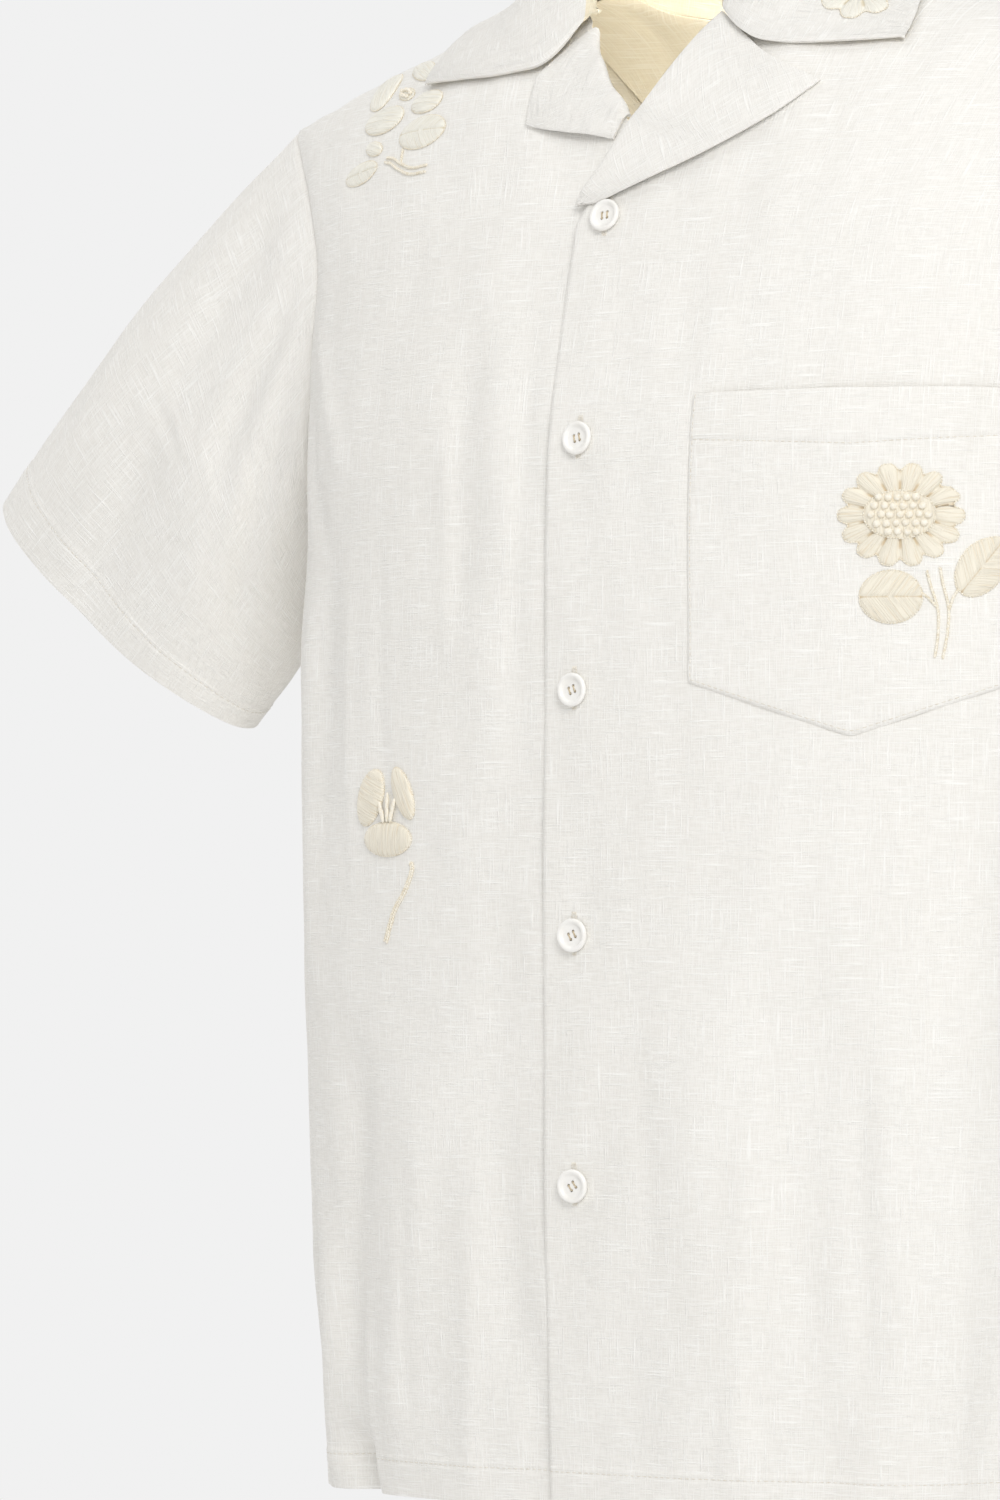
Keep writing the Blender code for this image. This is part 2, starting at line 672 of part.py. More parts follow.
def sleeve_rows(sign):
    """Grid of one sleeve: rings from the armhole to the cuff."""
    ring = armhole_ring(sign)
    turns = [row.turn for row in SLEEVE_SEAM_ROOM]
    lifts = column(SLEEVE_SEAM_ROOM, "outwards")
    runs = column(SLEEVE_SEAM_ROOM, "along")
    cuff = Vector((CUFF_CENTRE.x * sign, CUFF_CENTRE.y, CUFF_CENTRE.z))
    up = Vector((CUFF_UP.x * sign, CUFF_UP.y, CUFF_UP.z)).normalized()
    underarm = ring[0][1]
    tip = ring[len(ring) // 2][1]
    middle = blend(blend(underarm, tip, 0.5), cuff, 0.5)
    rows = []
    for step in range(SLEEVE_ROWS + 1):
        share = step / SLEEVE_ROWS
        row = []
        for turn, place, normal in ring:
            angle = turn * 2 * math.pi
            end = cuff - up * CUFF_HALF_WIDTH * math.cos(angle)
            end = end + Vector((0.0, -CUFF_HALF_DEPTH * math.sin(angle), 0.0))
            along = (end - place).normalized()
            lift = float(np.interp(turn, turns, lifts))
            run = float(np.interp(turn, turns, runs))
            start = place + normal * lift + along * run
            out = blend(place, end, 0.5) - middle
            out = (out - along * out.dot(along)).normalized()
            cap = blend(SLEEVE_UNDERARM_LIFT, 1.0, max(0.0, -math.cos(angle)))
            swell = SLEEVE_CAP_LIFT * math.sin(share * math.pi) * cap
            row.append(blend(start, end, share) + out * (swell + sleeve_fold(turn, share)))
        row.append(row[0].copy())
        rows.append(row)
    return rows


def flat_curve(points, share):
    """Point of a drawn line at a share of its length, evenly spaced over its own points."""
    return smooth_curve(share, np.linspace(0, 1, len(points)), points)


def lapel_rows(side):
    """Grid of a turned-back lapel, from its fold to its outer edge."""
    sign = 1.0 if side == "left" else -1.0
    fold, edge, gorge = (
        np.array(LAPELS[side][line], dtype=float) * MM for line in ("fold", "edge", "gorge"))
    rows = []
    for step in range(LAPEL_ROWS + 1):
        v = step / LAPEL_ROWS
        start = flat_curve(fold, v)
        end = flat_curve(edge, v)
        along = flat_curve(fold, min(v + 0.02, 1.0)) - flat_curve(fold, max(v - 0.02, 0.0))
        along = along / np.linalg.norm(along)
        inwards = np.array((-along[1], along[0]))
        row = []
        for point in LAPEL_ROLL:
            place = start + inwards * point.beyond * MM
            row.append(body_point("front", sign * place[0], place[1], point.lift * MM, side))
        for column_step in range(1, LAPEL_COLUMNS + 1):
            u = column_step / LAPEL_COLUMNS
            top = np.array([np.interp(u, GORGE_STATIONS, gorge[:, axis]) for axis in (0, 1)])
            straight = blend(fold[-1], edge[-1], u)
            place = blend(start, end, u) + (top - straight) * v ** 3
            puff = LAPEL_PUFF * math.exp(-np.linalg.norm(place - start) / LAPEL_PUFF_REACH)
            lift = CLOTH + LAPEL_ROOM + puff
            row.append(body_point("front", sign * place[0], place[1], lift, side))
        rows.append(row)
    return rows


def out_of_body(point, room):
    """Brings a point that lies within the body out to its cloth's outer face, and clear of it."""
    if point.z >= shoulder_height(point.x):
        return point
    panel = "front" if point.y < RIDGE_Y else "back"
    side = "left" if point.x > 0 else "right"
    foot = body_point(panel, point.x, point.z, CLOTH + room, side)
    if (point - foot).dot(plain_normal(panel, point.x, point.z)) < 0:
        return foot
    return point


def clear_of(tree, point, room):
    """Moves a point out until it stands clear of the cloth beneath it."""
    for _ in range(3):
        foot, normal, _, distance = tree.find_nearest(point)
        above = (point - foot).dot(normal)
        if above >= 0 and distance >= room:
            return point
        point = foot + normal * room * 1.05
    return point


def collar_rows(tree):
    """Grid of the collar, left front round the back to right front."""
    mirror = np.array((-1.0, 1.0, 1.0))
    left_half = [np.array(station, dtype=float) * MM for station in (COLLAR_LEFT_FRONT,) + COLLAR_STATIONS]
    right_half = [station * mirror for station in reversed(left_half[1:-1])]
    right_front = np.array(COLLAR_RIGHT_FRONT, dtype=float) * MM * mirror
    stations = np.array(left_half + right_half + [right_front])
    rows = []
    for step in range(COLLAR_ROWS + 1):
        place = step / COLLAR_ROWS * (len(stations) - 1)
        section = smooth_curve(place, np.arange(len(stations)), stations)
        row = []
        for where in COLLAR_COLUMNS:
            point = Vector(smooth_curve(where, np.arange(len(section)), section))
            if where > 1.0:
                point = clear_of(tree, out_of_body(point, COLLAR_ROOM), COLLAR_ROOM)
            row.append(point)
        rows.append(row)
    return rows


def pocket_rows(tree):
    """Grid of the patch pocket, bottom to mouth."""
    rows = []
    for step in range(POCKET_ROWS + 1):
        v = step / POCKET_ROWS
        row = []
        for column_step in range(POCKET_COLUMNS + 1):
            u = column_step / POCKET_COLUMNS
            bottom = blend(POCKET_TIP, POCKET_SIDE_BOTTOM, abs(2 * u - 1))
            height = blend(bottom, POCKET_TOP, v)
            x = share_at_arc(POCKET_NEAR + POCKET_WIDTH * u) * half_width(height)
            opening = clamp((v - 1.0 + POCKET_MOUTH_SHARE) / POCKET_MOUTH_SHARE)
            lift = CLOTH + LAY_GAP + POCKET_MOUTH * math.sin(u * math.pi) * opening
            row.append(clear_of(tree, body_point("front", x, height, lift), LAY_GAP))
        rows.append(row)
    return rows


def neck_facing_rows(tree):
    """Grid of the half-moon facing on the inner face of the back, below the neck."""
    half = FACING_COLUMNS // 2
    rows = []
    for step in range(FACING_ROWS + 1):
        v = (step / FACING_ROWS) ** FACING_CROWDING
        row = []
        for column_step in range(-half, half + 1):
            part = abs(column_step) / half
            x = FACING_HALF_WIDTH * part
            top = back_neck_height(x) - FACING_TOP_DROP
            low = top - FACING_EDGE - FACING_DEPTH * math.sqrt(1.0 - part * part)
            within = body_point(
                "back", math.copysign(x, column_step), blend(low, top, v), -FACING_REACH)
            foot, normal, _, _ = tree.find_nearest(within)
            row.append(foot + normal * (FACING_CLOTH + FACING_GAP))
        rows.append(row)
    return rows


def button(name, height, tree):
    """Turned button, just off the left front on its centre line."""
    mesh = bmesh.new()
    corners = [mesh.verts.new((point.radius * MM, 0.0, point.height * MM)) for point in BUTTON_PROFILE]
    for start, end in zip(corners, corners[1:]):
        mesh.edges.new((start, end))
    data = bpy.data.meshes.new(name)
    mesh.to_mesh(data)
    mesh.free()
    piece = add_piece(name, data, BUTTON_COLOUR)
    turn = piece.modifiers.new("Turn", "SCREW")
    turn.steps = BUTTON_STEPS
    turn.render_steps = BUTTON_STEPS
    turn.use_merge_vertices = True
    turn.merge_threshold = 0.00005
    foot, normal, _, _ = tree.find_nearest(body_point("front", 0.0, height, 3 * MM))
    piece.location = foot + normal * BUTTON_GAP
    piece.rotation_mode = "QUATERNION"
    piece.rotation_quaternion = normal.to_track_quat("Z", "Y")


class Patch:
    """Flat drawing plane that touches a panel, for laying raised embroidery on it."""

    def __init__(self, tree, centre, lean_degrees=0.0):
        """Sets the plane on the outer face nearest to a point given in millimetres."""
        place = Vector(centre) * MM
        self.tree = tree
        self.centre, self.normal, _, _ = tree.find_nearest(place + away_from_axis(place) * PATCH_REACH)
        self.right = Vector((0.0, 0.0, 1.0)).cross(self.normal).normalized()
        self.up = self.normal.cross(self.right).normalized()
        self.lean = math.radians(lean_degrees)

    def point(self, across, up, lift):
        """Point of the cloth below a point of the drawing, lifted off it, all in millimetres."""
        turned_across = across * math.cos(self.lean) - up * math.sin(self.lean)
        turned_up = across * math.sin(self.lean) + up * math.cos(self.lean)
        flat = self.centre + self.right * turned_across * MM + self.up * turned_up * MM
        foot, normal, _, _ = self.tree.find_nearest(flat + self.normal * 2 * MM)
        return foot + normal * (LAY_GAP + lift * MM)


def petal_outline(length, width, pointed=0.0):
    """Outline of a petal or leaf along its own length, rounder or more pointed at the far end."""
    def outline(angle):
        reach = math.cos(angle)
        narrow = 1.0 - pointed * max(reach, 0.0) ** 2
        return length / 2 * reach, width / 2 * math.sin(angle) * narrow
    return outline


def ring_outline(head):
    """Outline of a flower head with a ring of round petals."""
    def outline(angle):
        swell = 1.0 - head.notch * (0.5 - 0.5 * math.cos(head.petals * angle)) ** 2
        return head.half_width * swell * math.cos(angle), head.half_height * swell * math.sin(angle)
    return outline


def domed(height, groove=0.0, lobes=0):
    """Height of a pad: full in the middle, falling to its stitched edge, grooved between lobes."""
    def rise(share, angle):
        if share >= 1.0:
            return height * PAD_EDGE_SHARE
        crown = height * (0.2 + 0.8 * math.sqrt(1.0 - share ** 2.4))
        return crown - groove * share * (0.5 - 0.5 * math.cos(lobes * angle))
    return rise


def raised_pad(name, patch, outline, height, rings=PAD_RINGS, turns=PAD_TURNS, base=0.0):
    """Raised pad of embroidery: a closed form over an outline given by angle."""
    levels = [(share, 1.0) for share in np.linspace(0.0, 1.0, rings + 1)]
    levels += [(share, 0.0) for share in np.linspace(1.0, 0.0, rings + 1)]
    rows = []
    for share, top in levels:
        row = []
        for step in range(turns + 1):
            angle = (step % turns) / turns * 2 * math.pi
            across, up = outline(angle)
            row.append(patch.point(across * share, up * share, base + top * height(share, angle)))
        rows.append(row)
    closed_form(name, rows, THREAD_COLOUR)


def stem(name, tree, route):
    """Raised stem: a low strip that follows a route over the cloth."""
    points = np.array(route, dtype=float) * MM
    rows = []
    for step in range(STEM_STEPS + 1):
        share = step / STEM_STEPS
        here = Vector(flat_curve(points, share))
        ahead = Vector(flat_curve(points, min(share + 0.02, 1.0)))
        behind = Vector(flat_curve(points, max(share - 0.02, 0.0)))
        foot, normal, _, _ = tree.find_nearest(here + away_from_axis(here) * PATCH_REACH)
        across = normal.cross(ahead - behind).normalized()
        taper = STEM_END_TAPER if step in (0, STEM_STEPS) else 1.0
        row = []
        for point in STEM_SECTION:
            flat = foot + across * point.side * STEM_WIDTH / 2 * taper
            place, facing, _, _ = tree.find_nearest(flat + normal * MM)
            row.append(place + facing * (LAY_GAP + point.lift * STEM_HEIGHT * taper))
        row.append(row[0].copy())
        rows.append(row)
    closed_form(name, rows, THREAD_COLOUR)


def sew_pads(table, tree):
    """Lays a table's petals and leaves on a panel."""
    for row in table:
        patch = Patch(tree, (row.x, row.y, row.z), row.lean)
        raised_pad(row.name, patch, petal_outline(row.length, row.width, row.pointed), domed(row.height))


def sew_head(petals_name, eye_name, head, tree, petal_turns, eye_turns, eye_height):
    """Lays a flower head on a panel: its ring of petals with the raised middle on top."""
    patch = Patch(tree, (head.x, head.y, head.z))
    ridges = domed(PETAL_HEIGHT, PETAL_GROOVE, head.petals)
    raised_pad(petals_name, patch, ring_outline(head), ridges, turns=petal_turns)
    middle = petal_outline(head.eye_width, head.eye_height)
    raised_pad(eye_name, patch, middle, domed(eye_height), turns=eye_turns, base=EYE_BASE)


def build_body():
    """Back, two fronts and two sleeves."""
    panels = {"back": cloth_wall("back", back_rows(), CLOTH, CLOTH_COLOUR, away_from_axis)}
    for side, sign in (("right", -1.0), ("left", 1.0)):
        panels[side] = cloth_wall(
            "front_" + side, front_rows(side), CLOTH, CLOTH_COLOUR, away_from_axis)
        cloth_wall(
            "sleeve_" + side, sleeve_rows(sign), CLOTH, CLOTH_COLOUR,
            lambda point, sign=sign: sleeve_outward(point, sign))
    return panels


def build_neck(panels):
    """Lapels, collar and the facing inside the back of the neck; returns the collar."""
    for side in ("right", "left"):
        cloth_wall("lapel_" + side, lapel_rows(side), CLOTH, CLOTH_COLOUR, away_from_axis)
    body = outer_tree(*panels.values())
    collar = cloth_wall("collar", collar_rows(body), COLLAR_CLOTH, CLOTH_COLOUR, collar_outward)
    facing = neck_facing_rows(outer_tree(panels["back"]))
    cloth_wall("neck_facing", facing, FACING_CLOTH, INNER_COLOUR, away_from_axis)
    return collar


def build_embroidery(pocket, right_front, collar):
    """Sunflower on the pocket, spray and tulip on the right front, flower on the collar."""
    sew_head("sunflower_petals", "sunflower_seeds", SUNFLOWER, pocket, 42, 18, EYE_HEIGHT)
    sew_pads(SUNFLOWER_LEAVES, pocket)
    stem("sunflower_stem", pocket, SUNFLOWER_STEM)
    sew_pads(SPRAY_PADS, right_front)
    stem("spray_stem", right_front, SPRAY_STEM)
    sew_pads(TULIP_PADS, right_front)
    stem("tulip_stem", right_front, TULIP_STEM)
    sew_head("collar_flower", "collar_flower_eye", COLLAR_FLOWER, collar, 28, 12, EYE_HEIGHT * 0.75)


def main():
    """Builds the pieces in the order in which they are sewn."""
    panels = build_body()
    collar = build_neck(panels)
    left_front = outer_tree(panels["left"])
    pocket = cloth_wall("pocket", pocket_rows(left_front), CLOTH, CLOTH_COLOUR, away_from_axis)
    for number, height in enumerate(BUTTON_HEIGHTS, start=1):
        button(f"button_{number}", height * MM, left_front)
    build_embroidery(outer_tree(pocket), outer_tree(panels["right"]), outer_tree(collar))


for old in list(bpy.data.objects):
    bpy.data.objects.remove(old, do_unlink=True)
COLLECTION = bpy.data.collections.new("embroidered_shirt")
bpy.context.scene.collection.children.link(COLLECTION)
main()
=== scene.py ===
"""Looks of the embroidered camp-collar shirt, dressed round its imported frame.

Surfaces are worked out in millimetres, and are made metres when their meshes are built.
The wearer looks along -Y, and the wearer's left is +X.
"""

import logging
import math
from collections.abc import Callable, Iterable, Sequence
from dataclasses import dataclass, field
from enum import Enum

import bmesh
import bpy
import numpy as np
from mathutils import Matrix, Vector
from mathutils.bvhtree import BVHTree


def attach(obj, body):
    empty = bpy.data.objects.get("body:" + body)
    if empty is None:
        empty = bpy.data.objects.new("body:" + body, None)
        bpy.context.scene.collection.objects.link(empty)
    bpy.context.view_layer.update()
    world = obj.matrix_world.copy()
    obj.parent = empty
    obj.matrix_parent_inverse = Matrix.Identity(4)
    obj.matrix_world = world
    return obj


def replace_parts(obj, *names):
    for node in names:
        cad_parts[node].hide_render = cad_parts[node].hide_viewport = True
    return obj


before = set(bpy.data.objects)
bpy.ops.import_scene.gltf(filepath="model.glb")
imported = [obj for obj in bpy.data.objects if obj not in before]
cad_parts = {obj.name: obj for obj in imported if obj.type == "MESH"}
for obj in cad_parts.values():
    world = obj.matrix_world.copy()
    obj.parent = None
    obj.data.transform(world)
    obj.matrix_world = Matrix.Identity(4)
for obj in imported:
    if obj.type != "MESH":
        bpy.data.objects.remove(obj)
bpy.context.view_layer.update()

LOG = logging.getLogger("shirt")
MM = 0.001
BODY_NODE = "root"

# Outline of a drawing by angle: across and up, in millimetres
Outline = Callable[[np.ndarray], tuple[np.ndarray, np.ndarray]]


class Panel(Enum):
    """Which half of the body a point of cloth belongs to."""

    FRONT = -1.0
    BACK = 1.0


class Side(Enum):
    """Wearer's side, as the sign of X."""

    LEFT = 1.0
    RIGHT = -1.0


class Lay(Enum):
    """How the threads of a raised motif run."""

    RADIAL = "radial"
    ALONG = "along"
    ACROSS = "across"
    HERRINGBONE = "herringbone"


def blend(start, end, share):
    """Value or point a share of the way from start to end.

    Args:
        start: Value at share 0.
        end: Value at share 1.
        share: Share of the way, a number or an array.

    Returns:
        The blended value.
    """
    return start + (end - start) * share


def ease(share: np.ndarray) -> np.ndarray:
    """Share from 0 to 1 that starts and ends gently; values outside are clipped."""
    share = np.clip(share, 0.0, 1.0)
    return share * share * (3.0 - 2.0 * share)


def bell(distance: np.ndarray, width: float) -> np.ndarray:
    """Bump of height 1 that has faded out at about twice its width."""
    return np.exp(-((distance / width) ** 2))


def unit(vectors: np.ndarray) -> np.ndarray:
    """Vectors made 1 long."""
    return vectors / np.maximum(np.linalg.norm(vectors, axis=-1, keepdims=True), 1e-9)


def run_lengths(points: np.ndarray) -> np.ndarray:
    """Distance of each point from the first one of its line, or of its row in a grid."""
    steps = np.cumsum(np.linalg.norm(np.diff(points, axis=-2), axis=-1), axis=-1)
    return np.concatenate((np.zeros(steps.shape[:-1] + (1,)), steps), axis=-1)


def smooth_curve(place, places, values) -> np.ndarray:
    """Cubic curve through a table's points, level beyond both ends.

    Args:
        place: Where to read the curve, a number or an array.
        places: Rising places of the table's rows.
        values: Value, or point, of each row.

    Returns:
        The curve's values, one for each place.
    """
    places = np.asarray(places, dtype=float)
    values = np.asarray(values, dtype=float)
    slopes = np.gradient(values, places, axis=0)
    place = np.clip(np.asarray(place, dtype=float), places[0], places[-1])
    index = np.clip(np.searchsorted(places, place) - 1, 0, len(places) - 2)
    span = places[index + 1] - places[index]
    t = (place - places[index]) / span
    extra = (1,) * (values.ndim - 1)
    t, span = t.reshape(t.shape + extra), span.reshape(span.shape + extra)
    start = (1 + 2 * t) * (1 - t) ** 2 * values[index] + t * (1 - t) ** 2 * span * slopes[index]
    end = t * t * (3 - 2 * t) * values[index + 1] + t * t * (t - 1) * span * slopes[index + 1]
    return start + end


def spaced(width: float, step: float, edge_steps: Sequence[float] = (), ends: str = "both") -> np.ndarray:
    """Shares from 0 to 1, evenly spaced, with more of them near the ends.

    Args:
        width: Length that the shares cover, in millimetres.
        step: Even spacing, in millimetres.
        edge_steps: Distances from an end at which there is one more share.
        ends: Which ends get them: "first", "last" or "both".

    Returns:
        Rising shares.
    """
    shares = list(np.linspace(0.0, 1.0, int(round(width / step)) + 1))
    near = [distance / width for distance in edge_steps]
    clear = (max(near) if near else 0.0) + 0.3 * step / width
    low = clear if ends in ("first", "both") else 0.0
    high = 1.0 - clear if ends in ("last", "both") else 1.0
    kept = [share for share in shares if low <= share <= high]
    if ends in ("first", "both"):
        kept = [0.0] + near + kept
    if ends in ("last", "both"):
        kept = kept + [1.0 - share for share in reversed(near)] + [1.0]
    return np.array(sorted(set(kept)))


@dataclass(frozen=True)
class Fold:
    """Soft trough or ridge of the body cloth, by distance round the cloth and height."""

    top_arc: float
    top: float
    low_arc: float
    low: float
    half_width: float
    depth: float

    def lift(self, arc: np.ndarray, height: np.ndarray) -> np.ndarray:
        """How far the fold moves the cloth outwards.

        Args:
            arc: Distances round the cloth from the centre line.
            height: Heights.

        Returns:
            Lifts in millimetres.
        """
        along = (self.low_arc - self.top_arc, self.low - self.top)
        length = math.hypot(*along)
        away_arc, away_height = arc - self.top_arc, height - self.top
        share = (away_arc * along[0] + away_height * along[1]) / length ** 2
        off = np.abs(away_arc * along[1] - away_height * along[0]) / length
        fade = np.clip(share / 0.35, 0, 1) * np.clip((1.12 - share) / 0.25, 0, 1)
        return self.depth * bell(off, self.half_width) * ease(fade)


# The body's large folds, as in the solids, and then its finer creases
FOLDS: dict[Panel, tuple[Fold, ...]] = {
    Panel.FRONT: tuple(Fold(*row) for row in (
        (-64, -150, -66, -300, 13, -2.2),
        (-44, -150, -46, -330, 12, 1.6),
        (-158, -230, -162, -400, 12, -3.0),
        (-182, -260, -176, -470, 12, 2.6),
        (-206, -300, -200, -560, 11, -3.0),
        (-84, -480, -116, -676, 16, 4.2),
        (-128, -470, -148, -640, 13, -4.6),
        (-168, -560, -176, -700, 11, 4.5),
        (-152, -664, -142, -720, 11, -11.0),
        (-196, -540, -212, -680, 10, -4.2),
        (-48, -420, -40, -640, 14, -2.2),
        (60, -430, 66, -690, 22, 2.4),
        (112, -400, 118, -700, 20, -3.6),
        (160, -420, 164, -700, 18, 3.6),
        (206, -300, 208, -700, 14, -4.2),
        (232, -250, 236, -480, 12, 2.6),
    )),
    Panel.BACK: tuple(Fold(*row) for row in (
        (-40, -330, -48, -700, 22, -4.6),
        (-92, -230, -98, -700, 20, 4.4),
        (-142, -150, -150, -700, 18, -5.0),
        (-196, -300, -200, -700, 16, 4.4),
        (34, -360, 40, -700, 22, 4.2),
        (86, -250, 92, -700, 20, -5.0),
        (140, -160, 148, -700, 18, 4.6),
        (190, -280, 198, -700, 16, -4.4),
    )),
}
CREASES: dict[Panel, tuple[Fold, ...]] = {
    Panel.FRONT: tuple(Fold(*row) for row in (
        (-30, -170, -34, -330, 4, -0.8),
        (-78, -190, -72, -320, 5, 1.1),
        (-118, -250, -112, -380, 5, -1.1),
        (-140, -270, -136, -420, 4, 1.0),
        (-190, -330, -186, -470, 4, -1.3),
        (-216, -380, -206, -520, 4, 1.1),
        (-96, -520, -104, -660, 5, -1.4),
        (-60, -560, -66, -690, 6, 1.3),
        (-138, -600, -132, -700, 5, 1.6),
        (-186, -590, -190, -690, 4, -1.6),
        (-214, -560, -222, -660, 4, 1.6),
        (-24, -600, -30, -700, 5, -0.8),
        (-205, -180, -170, -262, 7, -1.9),
        (-196, -150, -150, -230, 6, 1.4),
        (34, -470, 40, -600, 6, -0.8),
        (88, -520, 84, -690, 7, 1.1),
        (138, -470, 144, -640, 6, -1.3),
        (184, -520, 188, -690, 6, 1.4),
        (206, -180, 172, -270, 7, -1.9),
        (224, -420, 220, -600, 5, -1.4),
    )),
    Panel.BACK: tuple(Fold(*row) for row in (
        (-66, -420, -72, -640, 7, -1.4),
        (-120, -380, -124, -600, 6, 1.4),
        (-170, -420, -176, -650, 6, -1.3),
        (-12, -470, -18, -690, 7, 1.3),
        (58, -440, 64, -660, 7, -1.4),
        (114, -400, 110, -620, 6, 1.3),
        (168, -450, 172, -680, 6, -1.4),
        (-205, -170, -160, -280, 8, -2.6),
        (205, -170, 160, -280, 8, -2.6),
        (-215, -200, -180, -330, 7, 1.9),
        (215, -200, 180, -330, 7, 1.9),
    )),
}


@dataclass(frozen=True)
class Ripple:
    """Faint, uneven waves that hand-washed cloth keeps all over."""

    seed: int
    height: float
    across: float
    along: float
    waves: int = 9

    def lift(self, across: np.ndarray, along: np.ndarray) -> np.ndarray:
        """Wave heights over the cloth.

        Args:
            across: Distances along the weft, in millimetres.
            along: Distances along the warp, in millimetres.

        Returns:
            Lifts in millimetres.
        """
        draw = np.random.default_rng(self.seed)
        total = np.zeros(np.broadcast(across, along).shape)
        for _ in range(self.waves):
            lengths = draw.uniform(0.6, 1.7, 2) * (self.across, self.along)
            turn = draw.choice((-1.0, 1.0))
            phase = draw.uniform(0.0, 2 * math.pi)
            total += np.sin(2 * math.pi * (across / lengths[0] + turn * along / lengths[1]) + phase)
        return total * self.height / math.sqrt(self.waves)


@dataclass
class WornBody:
    """Form of the worn body cloth: sections round the chest, arched over to the shoulders."""

    underarm: float = -262.0
    shoulder_tip: float = -55.0
    shoulder_tip_x: float = 247.0
    neck_half_width: float = 78.0
    back_neck_drop: float = 18.0
    ridge_y: float = 4.0
    chest_half_width: float = 212.0
    chest_depth: float = 126.0
    squareness: float = 2.5
    front_arch: float = 120.0
    back_arch: float = 90.0
    underlap_sink: float = 2.6
    underlap_start: float = -62.0
    underlap_run: float = 34.0
    flat_by_side: float = 16.0
    # height, half_width, front_depth, back_depth
    sections: tuple[tuple[float, ...], ...] = (
        (-700, 198, 124, 108),
        (-614, 205, 128, 110),
        (-520, 211, 130, 112),
        (-430, 214, 130, 112),
        (-305, 215, 129, 112),
        (-262, 212, 128, 111),
        (-223, 213, 126, 110),
        (-180, 214, 118, 108),
        (-127, 219, 105, 107),
        (-92, 234, 96, 106),
        (-72, 243, 94, 105),
        (-55, 251, 93, 105),
        (0, 262, 92, 105),
    )
    # height, front_share, back_share
    armhole: tuple[tuple[float, ...], ...] = (
        (-262, 1.0, 1.0),
        (-254, 0.996, 0.997),
        (-238, 0.984, 0.990),
        (-208, 0.950, 0.970),
        (-165, 0.913, 0.950),
        (-127, 0.889, 0.940),
        (-92, 0.911, 0.944),
        (-72, 0.948, 0.962),
        (-55, 0.984, 0.984),
    )

    def __post_init__(self) -> None:
        """Works out how distance round the chest goes with the share of the half width."""
        angle = np.linspace(0.0, math.pi / 2, 900)
        self.arc_shares = np.sin(angle) ** (2 / self.squareness)
        depth = np.cos(angle) ** (2 / self.squareness)
        steps = np.hypot(np.diff(self.arc_shares) * self.chest_half_width, np.diff(depth) * self.chest_depth)
        self.arc_lengths = np.concatenate(([0.0], np.cumsum(steps)))
        self.heights = [row[0] for row in self.sections]
        self.armhole_heights = [row[0] for row in self.armhole]

    def share_at_arc(self, arc: np.ndarray) -> np.ndarray:
        """Share of the half width at a distance round the cloth from the centre line."""
        return np.sign(arc) * np.interp(np.abs(arc), self.arc_lengths, self.arc_shares)

    def arc_at_share(self, share: np.ndarray) -> np.ndarray:
        """Distance round the cloth from the centre line at a share of the half width."""
        return np.sign(share) * np.interp(np.abs(share), self.arc_shares, self.arc_lengths)

    def half_width(self, height: np.ndarray) -> np.ndarray:
        """Half width of the body at a height."""
        return smooth_curve(height, self.heights, [row[1] for row in self.sections])

    def shoulder_height(self, x: np.ndarray) -> np.ndarray:
        """Height of the shoulder seam at a distance from the centre."""
        slope = self.shoulder_tip / (self.shoulder_tip_x - self.neck_half_width)
        return np.maximum(np.abs(x) - self.neck_half_width, 0.0) * slope

    def armhole_share(self, panel: Panel, height: np.ndarray) -> np.ndarray:
        """Share of the half width at which a panel meets the armhole seam."""
        column = 1 if panel is Panel.FRONT else 2
        return smooth_curve(height, self.armhole_heights, [row[column] for row in self.armhole])

    def back_neck_height(self, x: np.ndarray) -> np.ndarray:
        """Height of the back's top edge: along the shoulder, then down round the neck."""
        inside = np.clip(1.0 - np.abs(x) / self.neck_half_width, 0.0, 1.0)
        return self.shoulder_height(x) - self.back_neck_drop * np.sqrt(1.0 - (1.0 - inside) ** 2)

    def plain_y(self, panel: Panel, x: np.ndarray, height: np.ndarray) -> np.ndarray:
        """Front-to-back place of the body without its folds.

        Args:
            panel: Front or back.
            x: Distances from the centre, to the wearer's left.
            height: Heights.

        Returns:
            Y of each point, in millimetres.
        """
        share = np.minimum(np.abs(x) / self.half_width(height), 1.0)
        across = (1.0 - share ** self.squareness) ** (1.0 / self.squareness)
        arch_height = self.front_arch if panel is Panel.FRONT else self.back_arch
        rise = np.clip((self.shoulder_height(x) - height) / arch_height, 0.0, 1.0)
        column = 2 if panel is Panel.FRONT else 3
        depth = smooth_curve(height, self.heights, [row[column] for row in self.sections])
        return self.ridge_y + panel.value * depth * across * np.sqrt(1.0 - (1.0 - rise) ** 2)

    def normal(self, panel: Panel, x: np.ndarray, height: np.ndarray) -> np.ndarray:
        """Outward directions of the body without its folds."""
        step = 0.6
        in_x = self.plain_y(panel, x + step, height) - self.plain_y(panel, x - step, height)
        in_z = self.plain_y(panel, x, height + step) - self.plain_y(panel, x, height - step)
        normal = np.stack((-in_x, np.full_like(in_x, 2 * step), -in_z), axis=-1) * panel.value
        return unit(normal)

    def arc(self, x: np.ndarray, height: np.ndarray) -> np.ndarray:
        """Distance round the cloth from the centre line to points of the body."""
        return self.arc_at_share(np.clip(x / self.half_width(height), -1.0, 1.0))

